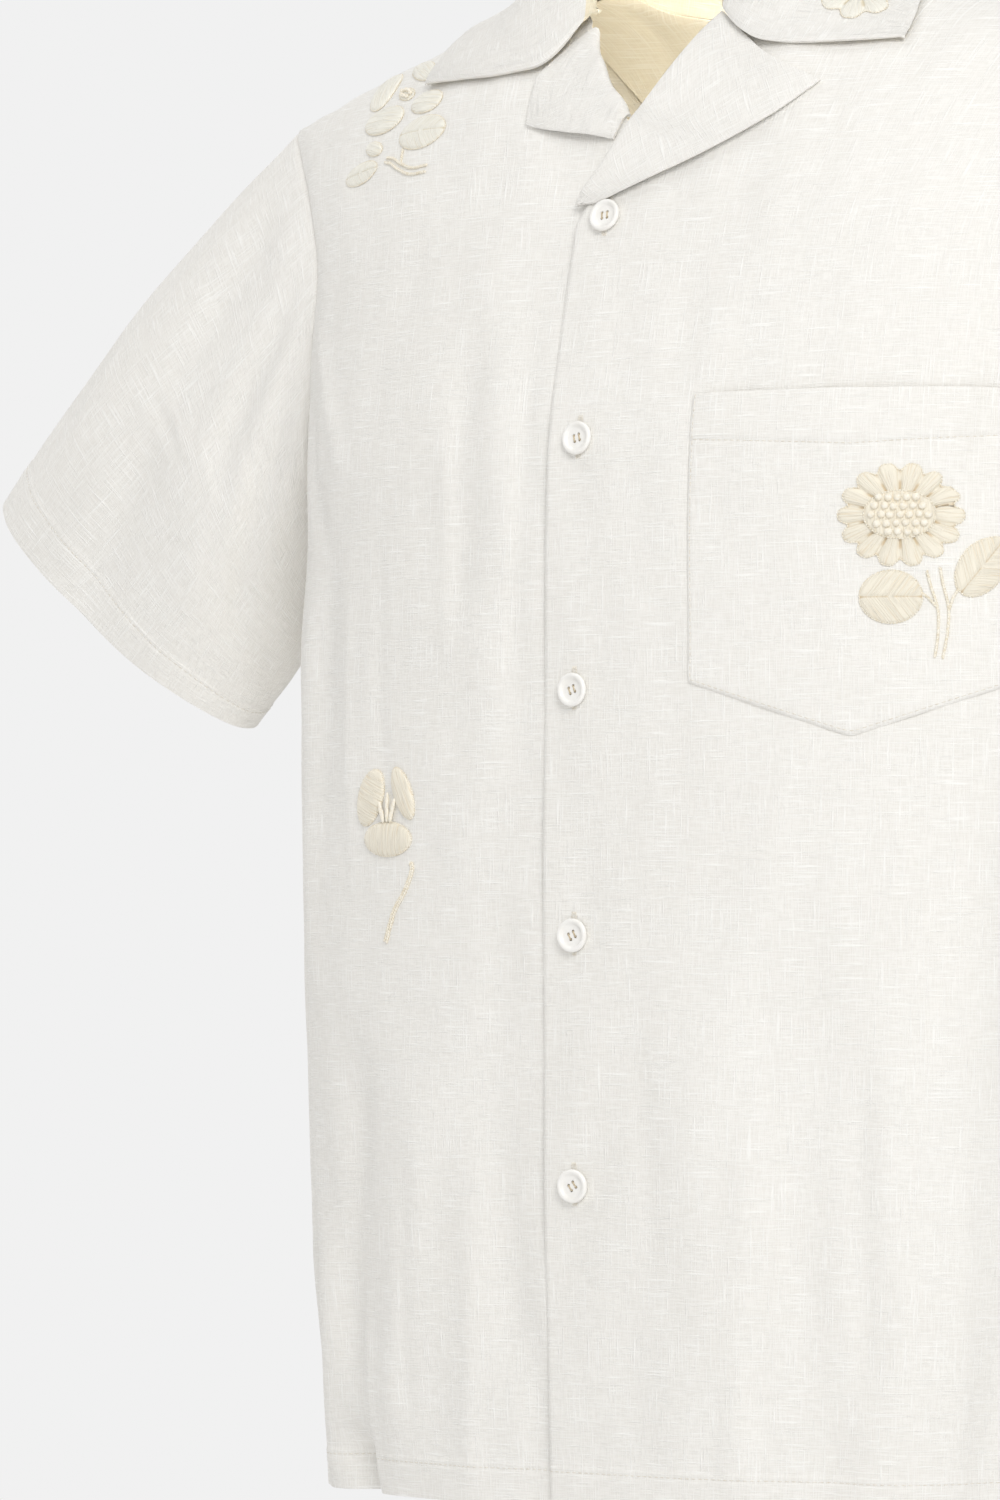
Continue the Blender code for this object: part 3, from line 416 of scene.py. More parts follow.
    def folds(self, panel: Panel, x: np.ndarray, height: np.ndarray, fine: bool = True) -> np.ndarray:
        """How far the folds move the cloth outwards.

        Args:
            panel: Front or back.
            x: Distances from the centre.
            height: Heights.
            fine: Whether the finer creases count too.

        Returns:
            Lifts in millimetres.
        """
        arc = self.arc(x, height)
        chosen = FOLDS[panel] + (CREASES[panel] if fine else ())
        total = sum(fold.lift(arc, height) for fold in chosen)
        return total * np.clip((self.half_width(height) - np.abs(x)) / self.flat_by_side, 0.0, 1.0)

    def sink(self, x: np.ndarray) -> np.ndarray:
        """How far the right front lies below the left one where they overlap."""
        return -self.underlap_sink * ease((x - self.underlap_start) / self.underlap_run)

    def point(
        self, panel: Panel, x, height, lift=0.0, side: Side = Side.LEFT, fine: bool = True,
    ) -> np.ndarray:
        """Points of the worn cloth, lifted off the solids' inner face.

        Args:
            panel: Front or back.
            x: Distances from the centre.
            height: Heights.
            lift: Distance outwards, in millimetres.
            side: Which front, because the right one dips under the left.
            fine: Whether the finer creases count too.

        Returns:
            Points, with x, y and z last.
        """
        x, height = np.broadcast_arrays(np.asarray(x, dtype=float), np.asarray(height, dtype=float))
        out = self.folds(panel, x, height, fine) + lift
        if panel is Panel.FRONT and side is Side.RIGHT:
            out = out + self.sink(x)
        place = np.stack((x, self.plain_y(panel, x, height), height), axis=-1)
        return place + self.normal(panel, x, height) * out[..., None]


BODY = WornBody()

# Distance from the solids' inner face to the cloth's outer face
OUTER_LIFT = 1.2
CLOTH_THICKNESS = 0.75
HEM_THICKNESS = 1.7
EDGE_STEPS = (0.35, 0.8, 1.4, 2.2, 3.2)


def grid_normals(points: np.ndarray, outward: Callable[[np.ndarray], np.ndarray]) -> np.ndarray:
    """Directions square to a grid of points, on its outward side.

    Args:
        points: Grid of points.
        outward: Rough outward direction at each point.

    Returns:
        Unit directions, one for each point.
    """
    across = np.gradient(points, axis=1)
    along = np.gradient(points, axis=0)
    normals = unit(np.cross(across, along))
    if np.sum(normals * outward(points)) < 0:
        normals = -normals
    return normals


def away_from_axis(points: np.ndarray) -> np.ndarray:
    """Rough direction from the middle of the body to points of its cloth."""
    away = points * (1.0, 1.0, 0.0) + np.stack(
        (np.zeros(points.shape[:-1]), np.zeros(points.shape[:-1]), 0.15 * (points[..., 2] + 200)), -1)
    return unit(away)


def up_and_away(points: np.ndarray) -> np.ndarray:
    """Rough outward direction of the collar, which lies on the shoulders."""
    return points * (0.3, 0.3, 0.0) + (0.0, 0.0, 60.0)


@dataclass(frozen=True)
class Cut:
    """A cut piece laid flat, in metres and square metres."""

    width: float
    length: float
    area: float


@dataclass
class Sheet:
    """One cloth panel: its outer face as a grid of points, and the cloth's own coordinates."""

    name: str
    points: np.ndarray
    weave: np.ndarray
    outward: Callable[[np.ndarray], np.ndarray]
    thickness: np.ndarray | float = CLOTH_THICKNESS
    joined: bool = False
    inner_columns: int = 0

    def __post_init__(self) -> None:
        """Works out the outward directions of the grid."""
        self.normals = grid_normals(self.points, self.outward)

    def tree(self) -> BVHTree:
        """Search tree over the outer face, in millimetres, with outward faces."""
        rows, columns = self.points.shape[:2]
        index = np.arange(rows * columns).reshape(rows, columns)
        corners = np.stack((index[:-1, :-1], index[:-1, 1:], index[1:, 1:], index[1:, :-1]), axis=-1)
        corners = corners.reshape(-1, 4)
        places = self.points.reshape(-1, 3)
        first = places[corners[:, 0]]
        normal = np.cross(places[corners[:, 1]] - first, places[corners[:, 3]] - first)
        if np.sum(normal * self.normals.reshape(-1, 3)[corners[:, 0]]) < 0:
            corners = corners[:, ::-1]
        return BVHTree.FromPolygons(places.tolist(), corners.tolist())

    def build(self, outer: bpy.types.Material, inner: bpy.types.Material) -> bpy.types.Object:
        """Makes the thin shell of cloth.

        Args:
            outer: Finish of the outer face and the edges.
            inner: Finish of the inner face.

        Returns:
            The shell's object.
        """
        rows, columns = self.points.shape[:2]
        mesh = bmesh.new()
        bmesh.ops.create_grid(mesh, x_segments=columns - 1, y_segments=rows - 1, size=1.0)
        data = bpy.data.meshes.new(self.name)
        mesh.to_mesh(data)
        mesh.free()
        data.vertices.foreach_set("co", (self.points * MM).ravel())
        corner = np.empty(len(data.loops), dtype=np.int32)
        data.loops.foreach_get("vertex_index", corner)
        layer = data.uv_layers.new(name="weave")
        layer.data.foreach_set("uv", (self.weave.reshape(-1, 2)[corner] * MM).ravel())
        data.update()
        normals = np.empty(len(data.vertices) * 3)
        data.vertices.foreach_get("normal", normals)
        if np.sum(normals.reshape(-1, 3) * self.normals.reshape(-1, 3)) < 0:
            data.flip_normals()
        for polygon in data.polygons:
            polygon.material_index = int(polygon.vertices[0] % columns < self.inner_columns)
        thickness = np.broadcast_to(self.thickness, (rows, columns)).ravel()
        piece = new_piece(self.name, data, (outer, inner))
        group = piece.vertex_groups.new(name="thickness")
        most = float(thickness.max())
        for level in np.unique(np.round(thickness, 2)):
            chosen = np.nonzero(np.round(thickness, 2) == level)[0].tolist()
            group.add(chosen, float(level) / most, "REPLACE")
        if self.joined:
            merge_doubles(data, 0.01 * MM)
        data.shade_smooth()
        wall = piece.modifiers.new("Cloth", "SOLIDIFY")
        wall.thickness = most * MM
        wall.offset = -1.0
        wall.vertex_group = "thickness"
        wall.material_offset = 1
        wall.use_even_offset = False
        edge = piece.modifiers.new("Turned edge", "BEVEL")
        edge.width = 0.22 * MM
        edge.segments = 2
        edge.limit_method = "ANGLE"
        edge.angle_limit = math.radians(62)
        edge.use_clamp_overlap = True
        return piece

    def dress(
        self, outer: bpy.types.Material, inner: bpy.types.Material, cut: Cut, slot: str = "cloth",
        held: str = "draped", rests_on: Sequence[str] = (), sewn: Sequence[bpy.types.Object] = (),
    ) -> None:
        """Makes the shell in place of its solid.

        Args:
            outer: Finish of the outer face and the edges.
            inner: Finish of the inner face.
            cut: The piece laid flat; not used.
            slot: Material slot of the solid; not used.
            held: How the cloth is held; not used.
            rests_on: Solids that it rests on; not used.
            sewn: Pieces of stitches that go with it; not used.
        """
        piece = self.build(outer, inner)
        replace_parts(piece, self.name.removesuffix("_cloth"))
        LOG.info("%s: %d x %d points", self.name, *self.points.shape[:2])


def merge_doubles(data: bpy.types.Mesh, distance: float) -> None:
    """Merges a mesh's meeting points in place."""
    mesh = bmesh.new()
    mesh.from_mesh(data)
    bmesh.ops.remove_doubles(mesh, verts=mesh.verts, dist=distance)
    mesh.to_mesh(data)
    mesh.free()


def new_piece(name: str, data: bpy.types.Mesh, materials: Iterable[bpy.types.Material]) -> bpy.types.Object:
    """Object for a finished mesh, riding on the shirt.

    Args:
        name: Piece's name.
        data: Its mesh, already in place.
        materials: Finishes, in the order of the mesh's slots.

    Returns:
        The linked object.
    """
    for material in materials:
        data.materials.append(material)
    piece = bpy.data.objects.new(name, data)
    bpy.context.scene.collection.objects.link(piece)
    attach(piece, BODY_NODE)
    return piece


@dataclass(frozen=True)
class Stitch:
    """One stitch of thread lying on cloth."""

    length: float
    width: float
    height: float

    def placed(self, place: Sequence[float], along: Sequence[float], normal: Sequence[float]) -> Matrix:
        """Matrix that lays the stitch on the cloth.

        Args:
            place: Middle of the stitch, in millimetres.
            along: Direction in which it runs.
            normal: Cloth's outward direction.

        Returns:
            Matrix in metres for a ball of radius 1.
        """
        up = Vector(normal).normalized()
        run = Vector(along) - up * Vector(along).dot(up)
        run.normalize()
        side = up.cross(run)
        turn = Matrix((run, side, up)).transposed().to_4x4()
        size = Matrix.Diagonal((self.length / 2 * MM, self.width / 2 * MM, self.height / 2 * MM, 1.0))
        return Matrix.Translation(Vector(place) * MM) @ turn @ size


SEAM_STITCH = Stitch(2.3, 0.5, 0.42)
EDGE_STITCH = Stitch(1.7, 0.75, 0.7)
BAR_STITCH = Stitch(1.9, 0.42, 0.5)
SEAM_PITCH = 3.1


def lay_balls(
    name: str,
    placements: Sequence[Matrix],
    material: bpy.types.Material,
    around: int = 6,
    rings: int = 4,
) -> bpy.types.Object:
    """Joined piece of many small rounded forms, such as stitches and knots.

    Args:
        name: Piece's name.
        placements: Matrix of each form.
        material: Finish.
        around: Faces round each form.
        rings: Rings of faces in each form.

    Returns:
        The joined piece.
    """
    ball = bmesh.new()
    bmesh.ops.create_uvsphere(ball, u_segments=around, v_segments=rings, radius=1.0)
    data = bpy.data.meshes.new(name)
    ball.to_mesh(data)
    ball.free()
    count = len(data.vertices)
    shape = np.ones((count, 4))
    flat = np.empty(count * 3)
    data.vertices.foreach_get("co", flat)
    shape[:, :3] = flat.reshape(-1, 3)
    faces = [list(polygon.vertices) for polygon in data.polygons]
    bpy.data.meshes.remove(data)
    moves = np.array([np.array(matrix) for matrix in placements])
    places = np.einsum("nij,vj->nvi", moves, shape)[..., :3].reshape(-1, 3)
    joined = bpy.data.meshes.new(name)
    joined.from_pydata(
        places.tolist(), [],
        [[corner + copy * count for corner in face] for copy in range(len(placements)) for face in faces])
    joined.shade_smooth()
    piece = new_piece(name, joined, (material,))
    return piece


def along_line(
    points: np.ndarray,
    normals: np.ndarray,
    stitch: Stitch,
    pitch: float,
    slant: float = 0.0,
    sunk: float = 0.12,
    closed: bool = False,
) -> list[Matrix]:
    """Even stitches along a line on the cloth.

    Args:
        points: Points of the line, in millimetres.
        normals: Cloth's outward directions there.
        stitch: Size of a stitch.
        pitch: Distance from one stitch to the next.
        slant: Turn of each stitch out of the line, in radians.
        sunk: How far the stitch's middle lies above the cloth, as a share of its height.
        closed: Whether the line comes back to its start.

    Returns:
        A matrix for each stitch.
    """
    if closed:
        points = np.vstack((points, points[:1]))
        normals = np.vstack((normals, normals[:1]))
    lengths = run_lengths(points)
    count = max(int(lengths[-1] / pitch), 1)
    places = (np.arange(count) + 0.5) * lengths[-1] / count
    placements = []
    for place in places:
        here = np.array([np.interp(place, lengths, points[:, axis]) for axis in range(3)])
        up = np.array([np.interp(place, lengths, normals[:, axis]) for axis in range(3)])
        before = np.array([np.interp(place - 0.5, lengths, points[:, axis]) for axis in range(3)])
        after = np.array([np.interp(place + 0.5, lengths, points[:, axis]) for axis in range(3)])
        run = Vector(after - before).normalized()
        if slant:
            run = Matrix.Rotation(slant, 3, Vector(up).normalized()) @ run
        placements.append(stitch.placed(here + up * stitch.height * sunk, run, up))
    return placements


class Finish:
    """Principled material with helpers that add and link its nodes."""

    def __init__(self, name: str, colour: tuple[float, float, float], roughness: float) -> None:
        """Starts a material.

        Args:
            name: Material's name.
            colour: Base colour, linear.
            roughness: Roughness all over.
        """
        self.material = bpy.data.materials.new(name)
        self.material.use_nodes = True
        self.tree = self.material.node_tree
        self.shader = self.tree.nodes["Principled BSDF"]
        self.shader.inputs["Base Color"].default_value = (*colour, 1.0)
        self.shader.inputs["Roughness"].default_value = roughness

    def add(self, kind: str, **values) -> bpy.types.Node:
        """Adds a node and sets its properties and unlinked inputs.

        Args:
            kind: Blender's name of the node type.
            **values: Properties by name; inputs by name with spaces as underscores.

        Returns:
            The new node.
        """
        node = self.tree.nodes.new(kind)
        for key, value in values.items():
            if hasattr(node, key):
                setattr(node, key, value)
            else:
                node.inputs[key.replace("_", " ")].default_value = value
        return node

    def link(self, source, target) -> None:
        """Joins an output socket to an input socket."""
        self.tree.links.new(source, target)

    def yarn_noise(self, layer: str, scale: tuple[float, float], shift: float, detail: float):
        """Noise stretched along the weft or the warp.

        Args:
            layer: Name of the UV map, in metres.
            scale: Waves for each metre across and along.
            shift: Offset that sets it apart from other noises.
            detail: Detail of the noise.

        Returns:
            Output socket of the noise.
        """
        place = self.add("ShaderNodeUVMap", uv_map=layer)
        mapping = self.add("ShaderNodeMapping")
        mapping.inputs["Location"].default_value = (shift, shift * 0.7, 0.0)
        mapping.inputs["Scale"].default_value = (*scale, 1.0)
        noise = self.add("ShaderNodeTexNoise", noise_dimensions="2D", Scale=1.0, Detail=detail)
        self.link(place.outputs["UV"], mapping.inputs["Vector"])
        self.link(mapping.outputs["Vector"], noise.inputs["Vector"])
        return noise.outputs["Fac"]

    def ranged(self, source, low: float, high: float, to_low: float = 0.0, to_high: float = 1.0):
        """Maps a range of values to another, smoothly."""
        node = self.add("ShaderNodeMapRange", interpolation_type="SMOOTHSTEP")
        for socket, value in zip(("From Min", "From Max", "To Min", "To Max"), (low, high, to_low, to_high)):
            node.inputs[socket].default_value = value
        self.link(source, node.inputs["Value"])
        return node.outputs["Result"]

    def maths(self, operation: str, first, second, clamp: bool = False):
        """Arithmetic on two sockets or numbers."""
        node = self.add("ShaderNodeMath", operation=operation, use_clamp=clamp)
        for index, value in enumerate((first, second)):
            if isinstance(value, (int, float)):
                node.inputs[index].default_value = value
            else:
                self.link(value, node.inputs[index])
        return node.outputs["Value"]

    def mixed(self, share, first, second):
        """Mix of two colours, each a socket or a linear colour."""
        node = self.add("ShaderNodeMix", data_type="RGBA", blend_type="MIX")
        self.link(share, node.inputs["Factor"])
        for name, value in (("A", first), ("B", second)):
            socket = next(s for s in node.inputs if s.name == name and s.type == "RGBA")
            if isinstance(value, tuple):
                socket.default_value = (*value, 1.0)
            else:
                self.link(value, socket)
        return next(s for s in node.outputs if s.type == "RGBA")

    def clouded(
        self, tint: tuple[float, float, float], scale: float, detail: float, low: float, high: float,
        most: float,
    ) -> bpy.types.NodeSocket:
        """Clouds the base colour with a second one.

        Args:
            tint: The second colour, linear.
            scale: Scale of the noise, on the piece's own place.
            detail: Detail of the noise.
            low: Noise at which the tint starts.
            high: Noise at which it is strongest.
            most: Its strongest share.

        Returns:
            Output socket of the noise.
        """
        place = self.add("ShaderNodeTexCoord")
        noise = self.add("ShaderNodeTexNoise", Scale=scale, Detail=detail)
        self.link(place.outputs["Object"], noise.inputs["Vector"])
        plain = tuple(self.shader.inputs["Base Color"].default_value[:3])
        colour = self.mixed(self.ranged(noise.outputs["Fac"], low, high, 0.0, most), plain, tint)
        self.link(colour, self.shader.inputs["Base Color"])
        return noise.outputs["Fac"]

    def bump(self, height, distance: float) -> None:
        """Gives the surface fine relief from a height."""
        node = self.add("ShaderNodeBump", Strength=1.0, Distance=distance)
        self.link(height, node.inputs["Height"])
        self.link(node.outputs["Normal"], self.shader.inputs["Normal"])


@dataclass(frozen=True)
class SlubLinen:
    """Plain-woven slub cloth: fine yarns with sparse thicker ones across and along."""

    name: str
    colour: tuple[float, float, float]
    slub: tuple[float, float, float]
    shade: tuple[float, float, float]
    shift: float = 0.0
    relief: float = 0.22

    def material(self) -> bpy.types.Material:
        """Makes the cloth's material.

        Returns:
            The material.
        """
        finish = Finish(self.name, self.colour, 0.92)
        weft = finish.yarn_noise("weave", (46.0, 1450.0), self.shift, 1.5)
        warp = finish.yarn_noise("weave", (1450.0, 42.0), self.shift + 17.0, 1.5)
        weft_fine = finish.yarn_noise("weave", (120.0, 2100.0), self.shift + 31.0, 1.5)
        warp_fine = finish.yarn_noise("weave", (2100.0, 120.0), self.shift + 43.0, 1.5)
        cloud = finish.yarn_noise("weave", (9.0, 7.0), self.shift + 59.0, 2.0)
        weft_slub = finish.ranged(weft, 0.52, 0.80)
        warp_slub = finish.ranged(warp, 0.53, 0.82)
        slubs = finish.maths("MAXIMUM", weft_slub, warp_slub)
        fine = finish.maths("ADD", finish.ranged(weft_fine, 0.3, 0.7), finish.ranged(warp_fine, 0.3, 0.7))
        fine = finish.maths("MULTIPLY", fine, 0.5)
        open_weave = finish.ranged(fine, 0.1, 0.75, 0.62, 0.0)
        patches = finish.ranged(cloud, 0.3, 0.7, 0.14, 0.0)
        dark = finish.maths("ADD", open_weave, patches, clamp=True)
        colour = finish.mixed(dark, self.colour, self.shade)
        colour = finish.mixed(finish.maths("MULTIPLY", slubs, 0.9), colour, self.slub)
        finish.link(colour, finish.shader.inputs["Base Color"])
        fine, slubs = finish.maths("MULTIPLY", fine, 0.5), finish.maths("MULTIPLY", slubs, 0.55)
        height = finish.maths("ADD", fine, slubs)
        finish.bump(height, self.relief * MM)
        finish.shader.inputs["Sheen Weight"].default_value = 0.12
        finish.shader.inputs["Sheen Roughness"].default_value = 0.5
        finish.shader.inputs["Specular IOR Level"].default_value = 0.2
        return finish.material


@dataclass(frozen=True)
class EmbroideryThread:
    """Soft cotton thread laid side by side, with painted shade in the gaps between threads and in a motif's
    grooves.
    """

    name: str
    colour: tuple[float, float, float]
    # Colour of the painted shade in gaps and grooves
    groove_shade: tuple[float, float, float]
    threads_per_metre: float = 1500.0

    def material(self) -> bpy.types.Material:
        """Makes the thread's material.

        Returns:
            The material.
        """
        finish = Finish(self.name, self.colour, 0.62)
        threads = finish.yarn_noise("thread", (self.threads_per_metre, 60.0), 3.0, 1.0)
        crown = finish.add("ShaderNodeAttribute", attribute_name="crown")
        ridges = finish.ranged(threads, 0.35, 0.65)
        # Painted shade: the colour turns to the darker one in the gaps between threads and where the motif's
        # vertex attribute marks a groove or edge.
        gaps = finish.ranged(threads, 0.22, 0.46, 0.45, 0.0)
        deep = finish.ranged(crown.outputs["Fac"], 0.0, 0.55, 1.0, 0.0)
        colour = finish.mixed(finish.maths("ADD", gaps, deep, clamp=True), self.colour, self.groove_shade)
        finish.link(colour, finish.shader.inputs["Base Color"])
        finish.bump(ridges, 0.16 * MM)
        finish.shader.inputs["Sheen Weight"].default_value = 0.2
        finish.shader.inputs["Specular IOR Level"].default_value = 0.3
        return finish.material


@dataclass(frozen=True)
class PlainThread:
    """Sewing thread of stitches and knots, with a faint twist."""

    name: str
    colour: tuple[float, float, float]
    tint: tuple[float, float, float]

    def material(self) -> bpy.types.Material:
        """Makes the thread's material.

        Returns:
            The material.
        """
        finish = Finish(self.name, self.colour, 0.6)
        twist = finish.clouded(self.tint, 900.0, 1.0, 0.35, 0.7, 0.7)
        finish.bump(twist, 0.08 * MM)
        return finish.material


@dataclass(frozen=True)
class ButtonResin:
    """Satin cast resin with a faint pearly cloud."""

    name: str
    colour: tuple[float, float, float]
    cloud: tuple[float, float, float]
    roughness: float = 0.28

    def material(self) -> bpy.types.Material:
        """Makes the resin's material.

        Returns:
            The material.
        """
        finish = Finish(self.name, self.colour, self.roughness)
        cloud = finish.clouded(self.cloud, 160.0, 3.0, 0.4, 0.75, 0.6)
        rough = finish.ranged(cloud, 0.3, 0.7, self.roughness, self.roughness + 0.12)
        finish.link(rough, finish.shader.inputs["Roughness"])
        finish.shader.inputs["Coat Weight"].default_value = 0.15
        return finish.material


class Finishes:
    """The shirt's materials, each made once."""

    def __init__(self) -> None:
        """Makes every material, from its colour and its darker or lighter second one."""
        self.cloth = SlubLinen(
            "slub_linen", (0.875, 0.855, 0.812), (0.945, 0.935, 0.90), (0.78, 0.755, 0.705)).material()
        # Painted shade: the inner faces are the same cream linen, coloured a darker, warmer tan for the dim
        # inside of the shirt.
        self.inside = SlubLinen(
            "slub_linen_inside_painted_shade", (0.81, 0.745, 0.60), (0.87, 0.81, 0.67), (0.72, 0.65, 0.50), 9.0).material()
        # Painted shade: the facing, the collar's stand and the collar's under face are the same cream linen,
        # coloured a light tan for the shade inside the neck.
        self.facing = SlubLinen(
            "slub_linen_facing_painted_shade", (0.86, 0.78, 0.60), (0.91, 0.85, 0.69), (0.78, 0.69, 0.50), 23.0).material()
        self.motif = EmbroideryThread("embroidery_thread", (0.85, 0.795, 0.67), (0.66, 0.53, 0.35)).material()
        self.pale_motif = EmbroideryThread(
            "pale_embroidery_thread", (0.885, 0.86, 0.77), (0.70, 0.62, 0.46)).material()
        self.edging = PlainThread("edging_thread", (0.88, 0.835, 0.73), (0.72, 0.63, 0.46)).material()
        self.knots = PlainThread("knot_thread", (0.89, 0.845, 0.745), (0.80, 0.72, 0.56)).material()
        self.sewing = PlainThread("sewing_thread", (0.80, 0.765, 0.69), (0.68, 0.62, 0.52)).material()
        self.button_thread = PlainThread("button_thread", (0.66, 0.56, 0.40), (0.52, 0.42, 0.27)).material()
        self.button = ButtonResin("button_resin", (0.90, 0.885, 0.85), (0.84, 0.815, 0.76)).material()
        # Darker tan finish of each button's turned outer edge.
        self.button_rim = ButtonResin("button_rim", (0.70, 0.62, 0.44), (0.60, 0.51, 0.33), 0.34).material()


@dataclass
class Body:
    """Back and two fronts, with their hem, turned edges and seams."""

    finishes: Finishes
    row_step: float = 3.2
    column_step: float = 3.0
    hem_edge: float = -698.0
    hem_depth: float = 18.0
    hem_rise: float = 0.55
    seam_dip: float = 1.0
    seam_reach: float = 1.1
    armhole_dip_share: float = 0.35
    shoulder_dip: float = 0.5
    shoulder_reach: float = 0.8
    inner_crowding: float = 1.7
    armhole_crowding: float = 1.35
    upper_rows: int = 92
    stitch_drop: float = 2.2
    back_cut: Cut = Cut(0.545, 0.735, 0.355)
    front_cut: Cut = Cut(0.300, 0.715, 0.186)
    # height, left, right: the fronts' inner edges, positive towards the panel's own side
    edges: tuple[tuple[float, float, float], ...] = (
        (-700, -17, -17),
        (-262, -17, -17),
        (-125, -17, -17),
        (-104, -8, -14),
        (-81, 5, -4),
        (-60, 18, 17),
        (-44, 28, 30),
        (-23, 43, 43),
        (-8, 60, 60),
        (-2, 70, 70),
        (0, 78, 78),
    )

    def lower_heights(self) -> np.ndarray:
        """Heights of the rows below the underarm, close together over the hem."""
        hem_top = self.hem_edge + self.hem_depth
        hem = np.arange(self.hem_edge, hem_top + 5.0, 1.0)
        rest = np.linspace(hem[-1] + 2.0, BODY.underarm, int((BODY.underarm - hem[-1]) / self.row_step))
        return np.concatenate((hem, rest[:-1]))

    def upper_shares(self) -> tuple[np.ndarray, np.ndarray]:
        """Shares of the way up at the inner edge and at the armhole, crowding to the shoulder."""
        step = np.linspace(0.0, 1.0, self.upper_rows + 1)
        share = 1.0 - (1.0 - step) ** self.inner_crowding
        return share, share ** self.armhole_crowding

    def relief(self, arc: np.ndarray, height: np.ndarray, ripple: Ripple) -> np.ndarray:
        """Lift of the outer face: the hem's fold and puckers, and the faint ripples.

        Args:
            arc: Distances round the cloth.
            height: Heights.
            ripple: The panel's ripples.

        Returns:
            Lifts in millimetres.
        """
        hem_top = self.hem_edge + self.hem_depth
        step = self.hem_rise * ease((hem_top + 0.8 - height) / 1.6)
        line = bell(height - hem_top + 2.2, 0.9)
        pull = bell(height - hem_top + 3.0, 7.0)
        pucker = 0.20 * pull * np.sin(arc / 1.25 + 1.7 * np.sin(arc / 9.0)) * np.sin(arc / 23.0 + 1.0) ** 2
        wavy = 0.9 * ease((-600.0 - height) / 100.0) * np.sin(arc / 17.0 + 0.9 * np.sin(arc / 31.0))
        return OUTER_LIFT + step - 0.42 * line + pucker + wavy * 0.55 + ripple.lift(arc, height)

    def seam_dips(self, to_side: np.ndarray, outer_z: np.ndarray, rise: np.ndarray) -> np.ndarray:
        """How far the cloth is pulled in at its side and shoulder seams.

        Args:
            to_side: Distances from the side seam or armhole.
            outer_z: Height of each row's outer end.
            rise: Share of the way up to the shoulder seam.

        Returns:
            Depths in millimetres.
        """
        side_seam = np.where(outer_z <= BODY.underarm, 1.0, self.armhole_dip_share)
        side = self.seam_dip * side_seam * bell(to_side, self.seam_reach)
        return side + self.shoulder_dip * bell((1.0 - rise) * -BODY.underarm, self.shoulder_reach)

    def thickness(self, height: np.ndarray) -> np.ndarray:
        """Thickness of the cloth: more where the hem is folded."""
        hem_top = self.hem_edge + self.hem_depth
        return np.where(height < hem_top + 0.2, HEM_THICKNESS, CLOTH_THICKNESS)

    def front(self, side: Side) -> Sheet:
        """Outer face of one front.

        Args:
            side: Which front.

        Returns:
            The sheet.
        """
        heights = [row[0] for row in self.edges]
        places = [row[1 if side is Side.LEFT else 2] for row in self.edges]
        lower = self.lower_heights()
        inner_share, outer_share = self.upper_shares()
        outer_z = np.concatenate((lower, blend(BODY.underarm, BODY.shoulder_tip, outer_share)))
        inner_z = np.concatenate((lower, blend(BODY.underarm, 0.0, inner_share)))
        reach = np.concatenate((np.ones(len(lower)), BODY.armhole_share(Panel.FRONT, outer_z[len(lower):])))
        inner_x = np.interp(inner_z, heights, places)
        outer_x = BODY.half_width(outer_z) * reach
        inner_arc = BODY.arc_at_share(inner_x / BODY.half_width(inner_z))[:, None]
        outer_arc = BODY.arc_at_share(np.minimum(outer_x / BODY.half_width(outer_z), 1.0))[:, None]
        shares = spaced(285.0, self.column_step, EDGE_STEPS)[None, :]
        here = BODY.share_at_arc(blend(inner_arc, outer_arc, shares))
        start, end = BODY.share_at_arc(inner_arc), BODY.share_at_arc(outer_arc)
        part = (here - start) / (end - start)
        x = side.value * blend(inner_x[:, None], outer_x[:, None], part)
        z = blend(inner_z[:, None], outer_z[:, None], part)
        arc = BODY.arc(x, z)
        width = (outer_arc - inner_arc) * np.ones_like(shares)
        rise = np.concatenate((np.zeros(len(lower)), inner_share))[:, None]
        edge = self.seam_dips((1 - shares) * width, outer_z[:, None], rise)
        edge = edge + self.seam_dip * bell(shares * width, self.seam_reach)
        lift = self.relief(arc, z, Ripple(3 if side is Side.LEFT else 5, 0.34, 46.0, 130.0)) - edge
        points = BODY.point(Panel.FRONT, x, z, lift, side)
        weave = np.stack((arc + 400.0 * side.value, z), axis=-1)
        name = f"front_{side.name.lower()}_cloth"
        return Sheet(name, points, weave, away_from_axis, self.thickness(z))

    def back(self) -> Sheet:
        """Outer face of the back.

        Returns:
            The sheet.
        """
        lower = self.lower_heights()
        inner_share, outer_share = self.upper_shares()
        outer_z = np.concatenate((lower, blend(BODY.underarm, BODY.shoulder_tip, outer_share)))[:, None]
        armhole = BODY.armhole_share(Panel.BACK, outer_z[len(lower):, 0])
        reach = np.concatenate((np.ones(len(lower)), armhole))[:, None]
        rise = np.concatenate((np.zeros(len(lower)), inner_share))[:, None]
        half = spaced(268.0, self.column_step * 1.15, EDGE_STEPS, ends="last")
        shares = np.concatenate((-half[::-1], half[1:]))[None, :]
        outer_x = BODY.half_width(outer_z) * reach
        outer_arc = BODY.arc_at_share(np.minimum(reach, 1.0))
        even = np.abs(BODY.share_at_arc(outer_arc * shares)) / BODY.share_at_arc(outer_arc)
        x = np.sign(shares) * outer_x * blend(even, np.abs(shares), rise ** 2)
        seam_rise = (outer_z - BODY.underarm) / (BODY.back_neck_height(outer_x) - BODY.underarm)
        along = blend(rise, np.maximum(seam_rise, 0.0), shares ** 2)
        upper = blend(BODY.underarm, BODY.back_neck_height(x), along)
        z = np.where(outer_z >= BODY.underarm, upper, outer_z * np.ones_like(x))
        arc = BODY.arc(x, z)
        edge = self.seam_dips((1 - np.abs(shares)) * outer_arc, outer_z, rise)
        lift = self.relief(arc, z, Ripple(7, 0.36, 52.0, 140.0)) - edge
        points = BODY.point(Panel.BACK, x, z, lift)
        weave = np.stack((arc + 1000.0, z), axis=-1)
        return Sheet("back_cloth", points, weave, away_from_axis, self.thickness(z))

